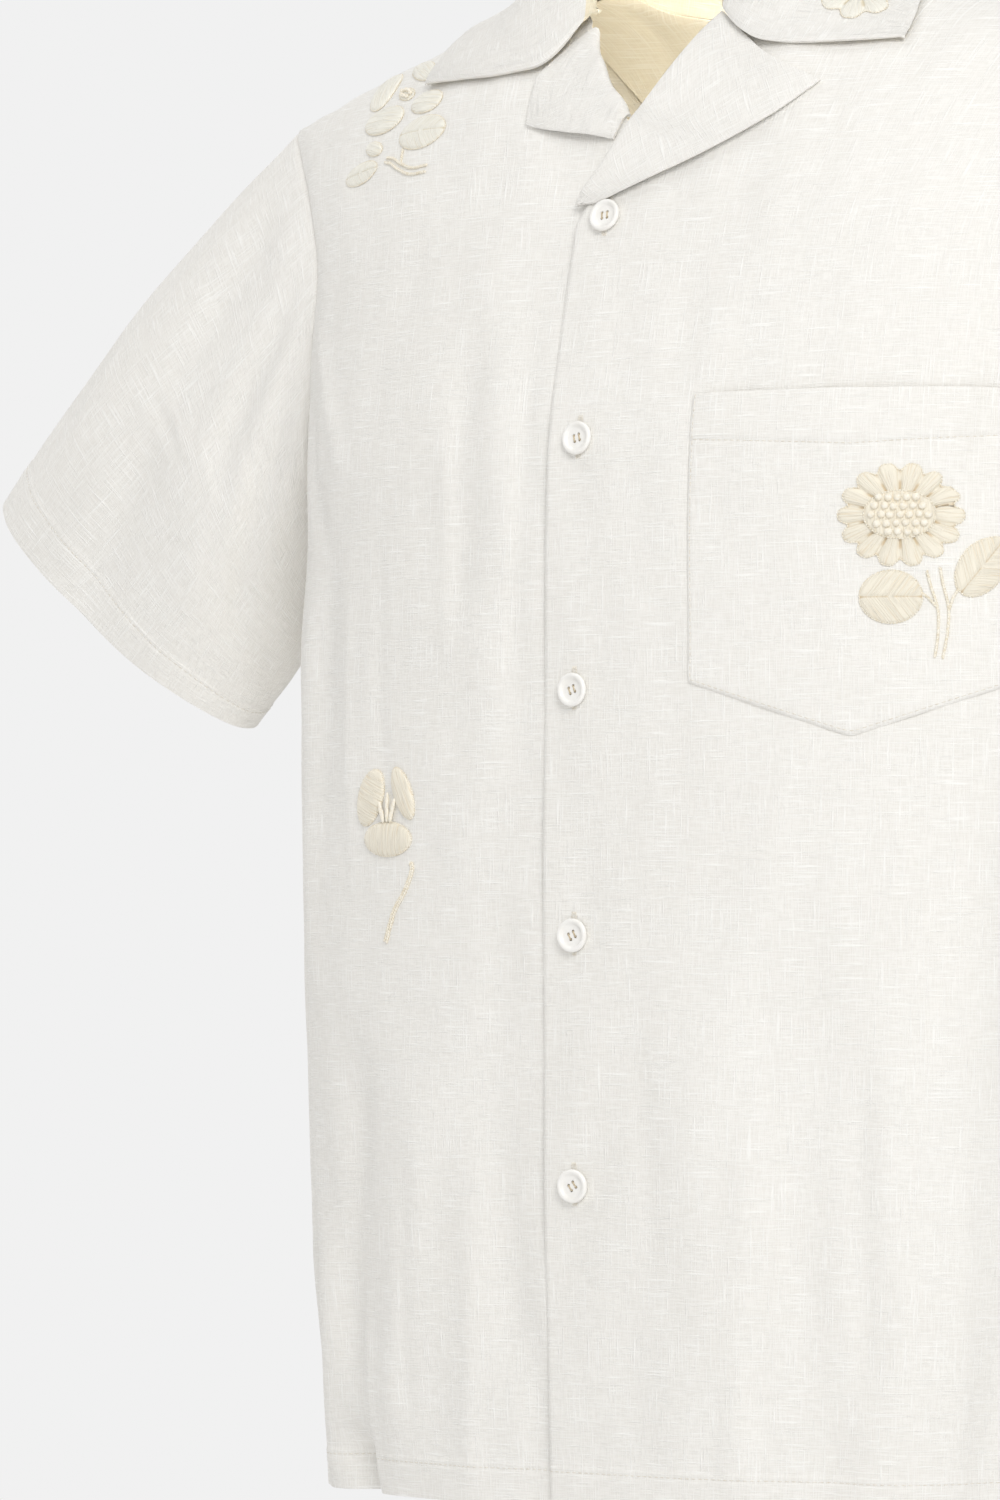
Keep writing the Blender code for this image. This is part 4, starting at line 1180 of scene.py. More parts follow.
    def build(self) -> dict[str, Sheet]:
        """Makes the back, the fronts and the hem's stitches.

        Returns:
            The sheets by name.
        """
        sheets = {"back": self.back()}
        sheets |= {f"front_{side.name.lower()}": self.front(side) for side in Side}
        stitch_height = self.hem_edge + self.hem_depth - self.stitch_drop
        for name, sheet in sheets.items():
            row = int(np.argmin(np.abs(sheet.points[:40, 0, 2] - stitch_height)))
            stitches = along_line(sheet.points[row], sheet.normals[row], SEAM_STITCH, SEAM_PITCH)
            sewn = lay_balls(name + "_hem_stitches", stitches, self.finishes.sewing)
            cut = self.back_cut if name == "back" else self.front_cut
            sheet.dress(self.finishes.cloth, self.finishes.inside, cut, sewn=[sewn])
        return sheets


@dataclass(frozen=True)
class SleeveFold:
    """Trough or ridge of a sleeve, by turn round it and share of its length."""

    top_turn: float
    top_share: float
    low_turn: float
    low_share: float
    half_width: float
    depth: float

    def lift(self, turn: np.ndarray, share: np.ndarray) -> np.ndarray:
        """How far the fold moves the cloth outwards."""
        part = np.clip((share - self.top_share) / (self.low_share - self.top_share), 0.0, 1.0)
        off = turn - blend(self.top_turn, self.low_turn, part)
        return self.depth * bell(off, self.half_width) * np.sin(part * math.pi) ** 0.6


SLEEVE_FOLDS = tuple(SleeveFold(*row) for row in (
    (0.40, 0.02, 0.30, 0.55, 0.035, -5.0),
    (0.30, 0.50, 0.24, 1.05, 0.035, -5.5),
    (0.30, 0.00, 0.22, 0.45, 0.030, -4.0),
    (0.38, 0.30, 0.36, 1.05, 0.035, 4.0),
    (0.20, 0.30, 0.16, 1.05, 0.035, 4.0),
    (0.60, 0.05, 0.68, 0.80, 0.040, -4.5),
    (0.74, 0.20, 0.80, 1.05, 0.040, 4.0),
    (0.26, 0.05, 0.14, 0.60, 0.018, 1.9),
    (0.34, 0.10, 0.27, 0.50, 0.016, -1.8),
    (0.44, 0.10, 0.40, 0.70, 0.018, 1.6),
    (0.18, 0.10, 0.10, 0.70, 0.018, -2.0),
    (0.33, 0.45, 0.30, 0.95, 0.016, 1.6),
    (0.72, 0.05, 0.80, 0.60, 0.018, -1.8),
    (0.84, 0.10, 0.90, 0.70, 0.018, 1.7),
))


@dataclass
class Sleeve:
    """Short sleeve with a deep stitched hem, hanging away from the side."""

    finishes: Finishes
    side: Side
    cuff_centre: tuple[float, float, float] = (343.0, -10.0, -285.0)
    cuff_half_width: float = 91.0
    cuff_half_depth: float = 43.0
    cuff_up: tuple[float, float, float] = (0.776, 0.0, 0.631)
    cap_lift: float = 9.0
    underarm_lift: float = 0.25
    hem_depth: float = 20.0
    ring_steps: int = 74
    row_step: float = 2.4
    cut: Cut = Cut(0.49, 0.27, 0.108)
    # turn, outwards: how far the sleeve stands off the body's panel at the seam
    seam_room: tuple[tuple[float, float], ...] = (
        (0.0, 3.2), (0.10, 2.8), (0.22, 1.2), (0.36, 0.3), (0.46, 0.0), (0.54, 0.0),
        (0.66, 0.3), (0.80, 1.0), (0.90, 2.6), (1.0, 3.2),
    )

    def ring(self) -> tuple[np.ndarray, np.ndarray, np.ndarray]:
        """Armhole seam, underarm to underarm over the shoulder.

        Returns:
            Turns from 0 to 1, places and the body's outward directions.
        """
        step = np.linspace(0.0, 1.0, self.ring_steps + 1)
        heights = blend(BODY.underarm, BODY.shoulder_tip, (1.0 - (1.0 - step) ** 1.7) ** 1.35)
        places, normals = [], []
        for panel, z in ((Panel.FRONT, heights), (Panel.BACK, heights[::-1][1:])):
            x = self.side.value * BODY.half_width(z) * BODY.armhole_share(panel, z)
            places.append(BODY.point(panel, x, z, 0.0, fine=False))
            normals.append(BODY.normal(panel, x, z))
        place, normal = np.concatenate(places), np.concatenate(normals)
        place[-1], normal[-1] = place[0], normal[0]
        lengths = run_lengths(place)
        tip = lengths[self.ring_steps]
        past_tip = 0.5 + 0.5 * (lengths - tip) / (lengths[-1] - tip)
        turns = np.where(lengths <= tip, 0.5 * lengths / tip, past_tip)
        return turns, place, normal

    def sheet(self) -> Sheet:
        """Outer face of the sleeve, rings from the armhole to the cuff.

        Returns:
            The sheet.
        """
        sign = np.array((self.side.value, 1.0, 1.0))
        turns, place, normal = self.ring()
        cuff = np.array(self.cuff_centre) * sign
        up = unit(np.array(self.cuff_up)) * sign
        angle = turns * 2 * math.pi
        end = cuff - up * self.cuff_half_width * np.cos(angle)[:, None]
        end = end + np.stack((0 * angle, -self.cuff_half_depth * np.sin(angle), 0 * angle), axis=-1)
        run = end - place
        length = np.linalg.norm(run, axis=1)
        along = run / length[:, None]
        middle = blend(blend(place[0], place[self.ring_steps], 0.5), cuff, 0.5)
        out = blend(place, end, 0.5) - middle
        out = unit(out - along * np.sum(out * along, axis=1, keepdims=True))
        cap = blend(self.underarm_lift, 1.0, np.maximum(0.0, -np.cos(angle)))
        mean = float(length.mean())
        shares = spaced(mean, self.row_step, (0.5, 1.0, 1.6, 2.4, 3.4), ends="first")
        hem_rows = 1.0 - np.arange(0.0, self.hem_depth + 4.0, 0.9)[::-1] / mean
        shares = np.concatenate((shares[shares < hem_rows[0] - 0.5 / mean], hem_rows))[:, None]
        room = np.interp(turns, *zip(*self.seam_room))
        stand = room * (1 - shares) * ease(shares / 0.07)
        swell = self.cap_lift * np.sin(shares * math.pi) * cap
        folds = sum(fold.lift(turns[None, :], shares) for fold in SLEEVE_FOLDS)
        folds = folds * np.minimum(shares / 0.15, 1.0)
        around = turns * 430.0
        down = shares * mean
        ripple = Ripple(11 if self.side is Side.LEFT else 13, 0.4, 60.0, 90.0).lift(around[None, :], down)
        hem_line = mean - self.hem_depth
        hem = 0.5 * ease((down - hem_line + 0.8) / 1.6)
        groove = 0.42 * bell(down - hem_line - 2.2, 0.9)
        pull = bell(down - hem_line - 3.0, 6.0)
        pucker = 0.18 * pull * np.sin(around / 1.2 + 1.5 * np.sin(around / 8.0))[None, :]
        tuck = 1.1 * bell(down, 1.4)
        lift = swell + folds + ripple * ease(shares / 0.1) + hem - groove + pucker - tuck + OUTER_LIFT
        base = place[None] + run[None] * shares[..., None] + normal[None] * stand[..., None]
        first = normal[None] * (1.0 - ease(shares / 0.05))[..., None]
        direction = first + out[None] * ease(shares / 0.05)[..., None]
        points = base + direction * lift[..., None]
        points[:, -1] = points[:, 0]
        thickness = np.where(down > hem_line - 0.2, HEM_THICKNESS, CLOTH_THICKNESS) * np.ones_like(turns)
        weave = np.stack(np.broadcast_arrays(around[None, :] + 1600 + 500 * self.side.value, -down), axis=-1)
        self.stitch_row = int(np.argmin(np.abs(down[:, 0] - hem_line - 2.2)))
        name = f"sleeve_{self.side.name.lower()}_cloth"
        return Sheet(name, points, weave, self.outward, thickness, joined=True)

    def outward(self, points: np.ndarray) -> np.ndarray:
        """Rough direction from the sleeve's middle line to points of its cloth."""
        sign = np.array((self.side.value, 1.0, 1.0))
        start = np.array((222.0, 0.0, -160.0)) * sign
        along = unit(np.array(self.cuff_centre) * sign - start)
        off = points - start
        return off - along * np.sum(off * along, axis=-1, keepdims=True)

    def build(self) -> None:
        """Makes the sleeve and its hem's stitches."""
        sheet = self.sheet()
        points, normals = sheet.points[self.stitch_row, :-1], sheet.normals[self.stitch_row, :-1]
        stitches = along_line(points, normals, SEAM_STITCH, SEAM_PITCH, closed=True)
        sewn = lay_balls(sheet.name + "_hem_stitches", stitches, self.finishes.sewing)
        sheet.dress(self.finishes.cloth, self.finishes.inside, self.cut, sewn=[sewn])


@dataclass
class Neck:
    """Camp collar, the two turned-back lapels and the facing inside the back of the neck."""

    finishes: Finishes
    collar_thickness: float = 2.2
    collar_room: float = 2.2
    lapel_room: float = 0.9
    smoothing: int = 26
    stand_columns: int = 15
    puff: float = 2.2
    puff_reach: float = 14.0
    edge_stand: float = 2.2
    facing_half_width: float = 109.0
    facing_depth: float = 94.0
    facing_edge: float = 3.0
    facing_drop: float = 0.8
    # seam, roll, middle of the fall and outer edge of each collar station, front to centre back
    left_front: tuple = ((41, -50, -21), (38, -63, -27), (70, -72, -47), (129, -56, -49))
    right_front: tuple = ((41, -50, -21), (38, -63, -27), (60, -74, -49), (130, -56, -50))
    stations: tuple = (
        ((50, -40, -13), (43, -53, -5), (76, -58, -22), (129, -40, -39)),
        ((59, -28, -5), (55, -36, 12), (82, -34, 2), (124, -16, -24)),
        ((77, 4, 2), (68, 2, 22), (92, 0, 16), (117, 3, -7)),
        ((76, 28, 0), (65, 25, 21), (84, 34, 15), (109, 42, -9)),
        ((57, 52, -8), (49, 44, 18), (60, 62, 13), (80, 76, -23)),
        ((0, 65, -15), (0, 57, 13), (0, 74, 9), (0, 93, -33)),
    )
    # distance from the centre, height
    lapels: dict = field(default_factory=lambda: {
        Side.LEFT: {
            "fold": ((-17, -116), (-8, -104), (5, -81), (12, -71), (28, -44), (37, -31)),
            "edge": ((-6, -116), (22, -107), (52, -95), (77, -82), (97, -66)),
            "gorge": ((37, -31), (66, -51), (97, -66)),
        },
        Side.RIGHT: {
            "fold": ((2, -74), (9, -67), (17, -60), (25, -49), (31, -42), (37, -31)),
            "edge": ((6, -85), (18, -83), (31, -81), (43, -79), (55, -76)),
            "gorge": ((37, -31), (56, -53), (55, -76)),
        },
    })
    # distance beyond the fold line, lift off the solids' inner face
    roll: tuple[tuple[float, float], ...] = ((1.0, 0.0), (2.0, 1.6), (1.0, 3.4))

    def lapel(self, side: Side) -> Sheet:
        """Outer face of a lapel, from its fold to its outer edge.

        Args:
            side: Which lapel.

        Returns:
            The sheet.
        """
        shape = {line: np.array(points, dtype=float) for line, points in self.lapels[side].items()}
        rows = np.linspace(0.0, 1.0, 64)
        fold, edge, gorge = shape["fold"], shape["edge"], shape["gorge"]
        read = lambda line, v: smooth_curve(v, np.linspace(0, 1, len(line)), line)
        start, end = read(fold, rows), read(edge, rows)
        along = unit(read(fold, np.minimum(rows + 0.02, 1.0)) - read(fold, np.maximum(rows - 0.02, 0.0)))
        inwards = np.stack((-along[:, 1], along[:, 0]), axis=-1)
        body = ease(rows / 0.12)
        columns = [np.column_stack((start + inwards * (beyond * blend(0.3, 1.0, body))[:, None],
                                    lift * blend(0.3, 1.0, body))) for beyond, lift in self.roll]
        for u in np.linspace(0.0, 1.0, 13)[2:]:
            top = np.array([np.interp(u, (0.0, 0.55, 1.0), gorge[:, axis]) for axis in (0, 1)])
            straight = blend(fold[-1], edge[-1], u)
            place = blend(start, end, u) + (top - straight) * (rows ** 3)[:, None]
            distance = np.linalg.norm(place - start, axis=1)
            lift = OUTER_LIFT + self.lapel_room + self.puff * body * np.exp(-distance / self.puff_reach)
            lift = lift + self.edge_stand * ease(u) * ease(rows / 0.3) * (1.0 - ease((rows - 0.6) / 0.4))
            columns.append(np.column_stack((place, lift)))
        table = np.stack(columns, axis=0)
        across = np.linspace(0, len(columns) - 1, 52)
        flat = np.moveaxis(smooth_curve(across, np.arange(len(columns)), table), 0, 1)
        base = BODY.point(Panel.FRONT, side.value * flat[..., 0], flat[..., 1], flat[..., 2], side)
        normals = grid_normals(base, away_from_axis)
        distance = run_lengths(base)
        from_edge = distance[:, -1:] - distance
        rounding = 0.5 * bell(from_edge, 0.9)
        points = base + normals * (OUTER_LIFT - rounding)[..., None]
        weave = np.stack((distance + 40 * side.value, rows[:, None] * 110.0 + 0 * distance), axis=-1)
        weave = weave @ np.array(((0.83, 0.56), (-0.56, 0.83)))
        name = f"lapel_{side.name.lower()}_cloth"
        return Sheet(name, points, weave, away_from_axis, 1.5)

    def collar(self) -> Sheet:
        """Outer face of the collar, from its left front end round the back to its right one.

        Returns:
            The sheet.
        """
        mirror = np.array((-1.0, 1.0, 1.0))
        left = [np.array(station, dtype=float) for station in (self.left_front,) + self.stations]
        right = [station * mirror for station in reversed(left[1:-1])]
        stations = np.array(left + right + [np.array(self.right_front, dtype=float) * mirror])
        count = len(stations) - 1
        place = spaced(count * 50.0, 2.4, (0.5, 1.2)) * count
        sections = smooth_curve(place, np.arange(count + 1), stations.reshape(count + 1, -1))
        sections = sections.reshape(len(place), 4, 3)
        stand = np.linspace(0.0, 1.0, self.stand_columns + 1)[:-1]
        where = np.concatenate((stand, np.linspace(1.0, 2.96, 44), (2.98, 2.99, 3.0)))
        columns = np.moveaxis(sections, 1, 0).reshape(4, -1)
        base = smooth_curve(where, np.arange(4), columns).reshape(len(where), len(place), 3)
        base = self.rested(np.moveaxis(base, 0, 1), where)
        normals = grid_normals(base, up_and_away)
        lengths = run_lengths(base)
        from_edge = lengths[:, -1:] - lengths
        around = place[:, None] * 52.0 + 0 * lengths
        ends = np.minimum(around, around.max() - around)
        rounding = 0.8 * bell(from_edge, 1.1) + 0.8 * bell(ends, 1.1)
        ridge = 0.30 * bell(from_edge - 3.4, 1.6) + 0.25 * bell(ends - 3.4, 1.6)
        ripple = Ripple(17, 0.22, 70.0, 45.0).lift(around, lengths)
        lift = self.collar_thickness - rounding + ridge * 0.6 + ripple
        points = base + normals * lift[..., None]
        weave = np.stack((around + 2700.0, lengths), axis=-1)
        # The stand's columns take the inner finish on both faces: the tan facing cloth, painted shade inside
        # the neck.
        return Sheet(
            "collar_cloth", points, weave, up_and_away, self.collar_thickness - 0.3,
            inner_columns=self.stand_columns)

    def rested(self, points: np.ndarray, where: np.ndarray) -> np.ndarray:
        """Lays the fall of the collar on the shoulders.

        Args:
            points: Grid of the collar's under face.
            where: Place of each column: 1 at the roll, 3 at the outer edge.

        Returns:
            The grid, clear of the body's solids.
        """
        fall = where > 1.0
        place = points[:, fall].copy()
        below = place[..., 2] < BODY.shoulder_height(place[..., 0])
        front = place[..., 1] < BODY.ridge_y
        for panel, chosen in ((Panel.FRONT, front), (Panel.BACK, ~front)):
            lift = OUTER_LIFT + self.collar_room
            foot = BODY.point(panel, place[..., 0], place[..., 2], lift, fine=False)
            normal = BODY.normal(panel, place[..., 0], place[..., 2])
            inside = np.sum((place - foot) * normal, axis=-1) < 0
            place = np.where((below & chosen & inside)[..., None], foot, place)
        tree = solid_tree("back", "front_left", "front_right")
        for index in np.ndindex(place.shape[:2]):
            place[index] = clear_of(tree, place[index], self.collar_room)
        result = points.copy()
        result[:, fall] = place
        beyond_roll = 0.25 * ease((where[1:-1] - 1.3) / 0.4)[:, None]
        for _ in range(self.smoothing):
            near = (result[:-2, 1:-1] + result[2:, 1:-1] + result[1:-1, :-2] + result[1:-1, 2:]) / 4
            edge_near = (result[:-2, -1] + result[2:, -1]) / 2
            ends = result[[0, -1]]
            result[1:-1, 1:-1] = blend(result[1:-1, 1:-1], near, 0.5)
            result[1:-1, -1] = blend(result[1:-1, -1], edge_near, 0.5)
            result[[0, -1], 1:-1] = blend(ends[:, 1:-1], (ends[:, :-2] + ends[:, 2:]) / 2, beyond_roll)
        return result

    def facing(self, collar: BVHTree) -> Sheet:
        """Half-moon facing below the back of the neck, caught in the collar's seam.

        Args:
            collar: Search tree over the collar's outer face.

        Returns:
            The sheet.
        """
        part = np.sin(np.linspace(-math.pi / 2, math.pi / 2, 90))[None, :]
        x = self.facing_half_width * part
        top = BODY.back_neck_height(x) - self.facing_drop
        low = top - self.facing_edge - self.facing_depth * np.sqrt(1.0 - part ** 2)
        down = np.linspace(0.0, 1.0, 42)[:, None] ** 1.4
        z = blend(low, top, down)
        wide = np.broadcast_to(x, z.shape)
        points = BODY.point(Panel.BACK, wide, z, -0.9, fine=False)
        inner = ease((83.0 - np.abs(x[0])) / 4.0)[:, None]
        caught = []
        for place in points[-1]:
            foot, normal, _, _ = collar.find_nearest(Vector(place) + Vector((0.0, -3.0, 7.0)))
            caught.append(foot + normal * 0.5)
        seam = blend(points[-1] + (0.0, 0.0, 0.3), np.array(caught), inner)
        points = np.concatenate((points, blend(points[-1], seam, 0.5)[None], seam[None]))
        z = np.concatenate((z, points[-2:, :, 2]))
        weave = np.stack((np.broadcast_to(x, z.shape) + 3300.0, z), axis=-1)
        return Sheet("neck_facing_cloth", points, weave, away_from_axis, 0.8)

    def build(self) -> Sheet:
        """Makes the lapels, the collar and the facing.

        Returns:
            The collar's sheet.
        """
        cloth, facing = self.finishes.cloth, self.finishes.facing
        collar = self.collar()
        # The collar's under face and the neck facing take the tan facing cloth, painted shade inside the
        # neck.
        rows = (
            (self.lapel(Side.LEFT), cloth, cloth, Cut(0.115, 0.105, 0.0060), "cloth"),
            (self.lapel(Side.RIGHT), cloth, cloth, Cut(0.065, 0.060, 0.0022), "cloth"),
            (collar, cloth, facing, Cut(0.50, 0.11, 0.046), "cloth"),
            (self.facing(collar.tree()), facing, facing, Cut(0.225, 0.125, 0.021), "inner_cloth"),
        )
        for sheet, outer, inner, cut, slot in rows:
            sheet.dress(outer, inner, cut, slot, rests_on=["back"])
        return collar


def solid_tree(*names: str) -> BVHTree:
    """Search tree over some of the frame's solids, in millimetres.

    Args:
        *names: Names of the nodes.

    Returns:
        The tree.
    """
    points: list[tuple[float, float, float]] = []
    faces: list[list[int]] = []
    for name in names:
        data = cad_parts[name].data
        start = len(points)
        points.extend(tuple(vertex.co / MM) for vertex in data.vertices)
        faces.extend([start + index for index in polygon.vertices] for polygon in data.polygons)
    return BVHTree.FromPolygons(points, faces)


def clear_of(tree: BVHTree, point: np.ndarray, room: float) -> np.ndarray:
    """Moves a point out until it stands clear of the solids beneath it.

    Args:
        tree: Search tree over the solids.
        point: The point, in millimetres.
        room: Distance to keep.

    Returns:
        The point, moved if it had to be.
    """
    place = Vector(point)
    for _ in range(3):
        foot, normal, _, distance = tree.find_nearest(place)
        if (place - foot).dot(normal) >= 0 and distance >= room:
            break
        place = foot + normal * room * 1.05
    return np.array(place)


@dataclass
class Pocket:
    """Patch pocket with a pointed foot, a deep stitched mouth and edge stitching."""

    finishes: Finishes
    near: float = 58.0
    width: float = 150.0
    top: float = -206.0
    side_bottom: float = -333.0
    tip: float = -358.0
    mouth: float = 1.4
    mouth_share: float = 0.4
    hem_depth: float = 20.0
    stitch_inset: float = 1.7
    stitch_pitch: float = 3.0
    lay_gap: float = 0.5
    cut: Cut = Cut(0.152, 0.154, 0.0212)

    def sheet(self) -> Sheet:
        """Outer face of the pocket.

        Returns:
            The sheet.
        """
        steps = (0.3, 0.7, 1.2, self.stitch_inset, 2.4, 3.2)
        u = spaced(self.width, 2.0, steps)[None, :]
        tall = self.top - self.side_bottom
        v = spaced(tall, 1.8, steps)[:, None]
        hem_rows = 1.0 - np.arange(self.hem_depth - 3.0, self.hem_depth + 3.0, 0.8)[:, None] / tall
        kept = v[(v < hem_rows.min() - 0.5 / tall) | (v > hem_rows.max() + 0.5 / tall)][:, None]
        v = np.sort(np.concatenate((kept, hem_rows)), axis=0)
        bottom = blend(self.tip, self.side_bottom, np.sqrt((2 * u - 1) ** 2 + 0.0006))
        z = blend(bottom, self.top, v)
        x = BODY.share_at_arc(self.near + self.width * u) * BODY.half_width(z)
        opening = np.clip((v - 1.0 + self.mouth_share) / self.mouth_share, 0.0, 1.0)
        lift = OUTER_LIFT * 2 + self.lay_gap + self.mouth * np.sin(u * math.pi) * opening
        from_side = np.minimum(u, 1 - u) * self.width
        from_foot = v * tall
        edge = 1.2 * bell(from_side, 0.7) + 1.2 * bell(from_foot, 0.7)
        edge = np.minimum(edge, 1.3) + 0.4 * bell((1 - v) * tall, 0.7)
        inset = self.stitch_inset
        groove = 0.25 * bell(from_side - inset, 0.6)
        groove = np.maximum(groove, 0.25 * bell(from_foot - inset, 0.6))
        turned = 0.25 * ease((9.0 - from_side) / 1.2) * ease((9.0 - from_foot) / 1.2)
        hem_line = (1 - v) * tall - self.hem_depth
        hem = 0.35 * ease((0.8 - hem_line) / 1.6) - 0.42 * bell(hem_line, 0.9)
        ripple = Ripple(19, 0.22, 40.0, 70.0).lift(self.width * u, z)
        inner = ease(from_side / 12.0) * ease(from_foot / 12.0)
        lift = lift - edge - groove + turned + hem + ripple * inner
        points = BODY.point(Panel.FRONT, x, z, lift)
        self.rows = {
            "hem": int(np.argmin(np.abs(hem_line))),
            "foot": int(np.argmin(np.abs(from_foot - inset))),
        }
        self.columns = {
            "near": int(np.argmin(np.abs(u[0] * self.width - inset))),
            "far": int(np.argmin(np.abs((1 - u[0]) * self.width - inset))),
        }
        weave = np.stack((BODY.arc(x, z) + 3900.0, z + 9.0), axis=-1)
        return Sheet("pocket_cloth", points, weave, away_from_axis, 0.9)

    def build(self) -> Sheet:
        """Makes the pocket and its stitches.

        Returns:
            The pocket's sheet.
        """
        sheet = self.sheet()
        near, far, foot, hem = self.columns["near"], self.columns["far"], self.rows["foot"], self.rows["hem"]
        path, facing = (
            np.concatenate((grid[:foot:-1, near], grid[foot, near:far], grid[foot:, far]))
            for grid in (sheet.points, sheet.normals))
        stitches = along_line(path, facing, SEAM_STITCH, self.stitch_pitch)
        mouth = (sheet.points[hem, near:far], sheet.normals[hem, near:far])
        stitches += along_line(*mouth, SEAM_STITCH, self.stitch_pitch)
        sewn = lay_balls("pocket_stitches", stitches, self.finishes.sewing)
        cloth, inside = self.finishes.cloth, self.finishes.inside
        sheet.dress(cloth, inside, self.cut, held="hung", rests_on=["front_left"], sewn=[sewn])
        return sheet


@dataclass
class Buttons:
    """Five four-hole buttons on the left front, with their buttonholes and thread."""

    finishes: Finishes
    heights: tuple[float, ...] = (-122.0, -223.0, -335.0, -444.0, -555.0)
    gap: float = 0.45
    hole_offset: float = 1.35
    hole_radius: float = 0.72
    buttonhole_length: float = 17.0
    buttonhole_width: float = 2.6
    turn_each: float = 0.12
    # radius, height above the back; the last ring of the face comes first
    profile: tuple[tuple[float, float], ...] = (
        (0.0, 1.55), (3.2, 1.5), (4.6, 1.62), (5.1, 1.95), (5.55, 2.45), (6.1, 2.78), (6.7, 2.82),
        (7.15, 2.62), (7.45, 2.2), (7.6, 1.6), (7.45, 1.0), (7.0, 0.45), (6.2, 0.1), (5.0, 0.0), (0.0, 0.0),
    )
    rim_start: float = 6.55

    def blank(self) -> bpy.types.Mesh:
        """Turned and drilled button, flat at the origin.

        Returns:
            Its mesh, in metres.
        """
        mesh = bmesh.new()
        corners = [mesh.verts.new((radius * MM, 0.0, height * MM)) for radius, height in self.profile]
        edges = [mesh.edges.new(pair) for pair in zip(corners, corners[1:])]
        bmesh.ops.spin(
            mesh, geom=corners + edges, axis=(0, 0, 1), cent=(0, 0, 0), angle=2 * math.pi, steps=72,
            use_merge=True)
        bmesh.ops.remove_doubles(mesh, verts=mesh.verts, dist=0.001 * MM)
        bmesh.ops.recalc_face_normals(mesh, faces=mesh.faces)
        for face in mesh.faces:
            centre = face.calc_center_median()
            face.material_index = 1 if math.hypot(centre.x, centre.y) > self.rim_start * MM else 0
        turned = bpy.data.meshes.new("button_turned")
        mesh.to_mesh(turned)
        mesh.free()
        drills = bmesh.new()
        offset, radius = self.hole_offset * MM, self.hole_radius * MM
        for across in (-1, 1):
            for up in (-1, 1):
                place = Matrix.Translation((across * offset, up * offset, 1.0 * MM))
                bmesh.ops.create_cone(
                    drills, cap_ends=True, segments=20, radius1=radius, radius2=radius, depth=12.0 * MM,
                    matrix=place)
        drilled = bpy.data.meshes.new("button_drills")
        drills.to_mesh(drilled)
        drills.free()
        body = bpy.data.objects.new("button_turned", turned)
        cutter = bpy.data.objects.new("button_drills", drilled)
        for thing in (body, cutter):
            bpy.context.scene.collection.objects.link(thing)
        cut = body.modifiers.new("Holes", "BOOLEAN")
        cut.object = cutter
        cut.operation = "DIFFERENCE"
        graph = bpy.context.evaluated_depsgraph_get()
        finished = bpy.data.meshes.new_from_object(body.evaluated_get(graph))
        for thing in (body, cutter):
            bpy.data.objects.remove(thing, do_unlink=True)
        finished.shade_smooth()
        finished.set_sharp_from_angle(angle=math.radians(50))
        finished.materials.clear()
        return finished

    def build(self, front: Sheet) -> None:
        """Makes the buttons, the thread through them and the buttonholes.

        Args:
            front: Outer face of the left front.
        """
        blank = self.blank()
        tree = front.tree()
        for number, height in enumerate(self.heights, start=1):
            foot, normal = self.front_point(tree, 0.0, height)
            turn = normal.to_track_quat("Z", "Y").to_matrix().to_4x4()
            turn = turn @ Matrix.Rotation(self.turn_each * number, 4, "Z")
            place = Matrix.Translation((foot + normal * self.gap) * MM) @ turn
            data = blank.copy()
            data.name = f"button_{number}_turned"
            data.transform(place)
            piece = new_piece(data.name, data, (self.finishes.button, self.finishes.button_rim))
            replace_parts(piece, f"button_{number}")
            self.tie(number, place)
            self.buttonhole(number, height, tree)
        LOG.info("buttons: %d", len(self.heights))

    def tie(self, number: int, place: Matrix) -> None:
        """Thread through one button's holes, and its shank.

        Args:
            number: The button's number.
            place: Matrix from the flat button to its place.
        """
        strands = []
        offset = self.hole_offset * MM
        for across in (-1, 1):
            for nudge in (-0.18, 0.18):
                centre = Matrix.Translation((across * offset + nudge * MM, 0.0, 1.62 * MM))
                strands.append(place @ centre @ Matrix.Diagonal((0.2 * MM, 1.75 * MM, 0.26 * MM, 1.0)))
            for up in (-1, 1):
                centre = Matrix.Translation((across * offset, up * offset, 0.7 * MM))
                strands.append(place @ centre @ Matrix.Diagonal((0.42 * MM, 0.42 * MM, 0.95 * MM, 1.0)))
        strands.append(place @ Matrix.Diagonal((1.7 * MM, 1.7 * MM, 0.9 * MM, 1.0)))
        lay_balls(f"button_{number}_thread", strands, self.finishes.button_thread, 8, 6)

    def buttonhole(self, number: int, height: float, tree: BVHTree) -> None:
        """Stitched slit behind one button.

        Args:
            number: The button's number.
            height: Height of the button.
            tree: Search tree over the left front.
        """
        half = self.buttonhole_length / 2
        middle = height + 0.8
        side = self.buttonhole_width / 3.4
        bars = [(across, step, (1.0, 0.0, 0.0)) for step in np.arange(-half, half + 0.1, 0.62)
                for across in (-side, side)]
        bars += [(across, end, (0.0, 0.0, 1.0)) for end in (-half - 0.5, half + 0.5)
                 for across in np.arange(-1.0, 1.01, 0.5)]
        stitches = []
        for across, up, run in bars:
            foot, normal = self.front_point(tree, across, middle + up)
            stitches.append(BAR_STITCH.placed(foot, run, normal))
        lay_balls(f"buttonhole_{number}", stitches, self.finishes.sewing)

    @staticmethod
    def front_point(tree: BVHTree, across: float, height: float) -> tuple[Vector, Vector]:
        """Point of the left front's outer face, and its outward direction."""
        foot, normal, _, _ = tree.find_nearest(Vector(BODY.point(Panel.FRONT, across, height, 3.0)))
        return foot, normal


def outer_point(tree: BVHTree, place: Sequence[float]) -> tuple[Vector, Vector]:
    """Point of the cloth's outer face nearest to a rough place, and its outward direction."""
    away = Vector((place[0], place[1], 0.15 * (place[2] + 200))).normalized()
    foot, normal, _, _ = tree.find_nearest(Vector(place) + away * 8.0)
    return foot, normal


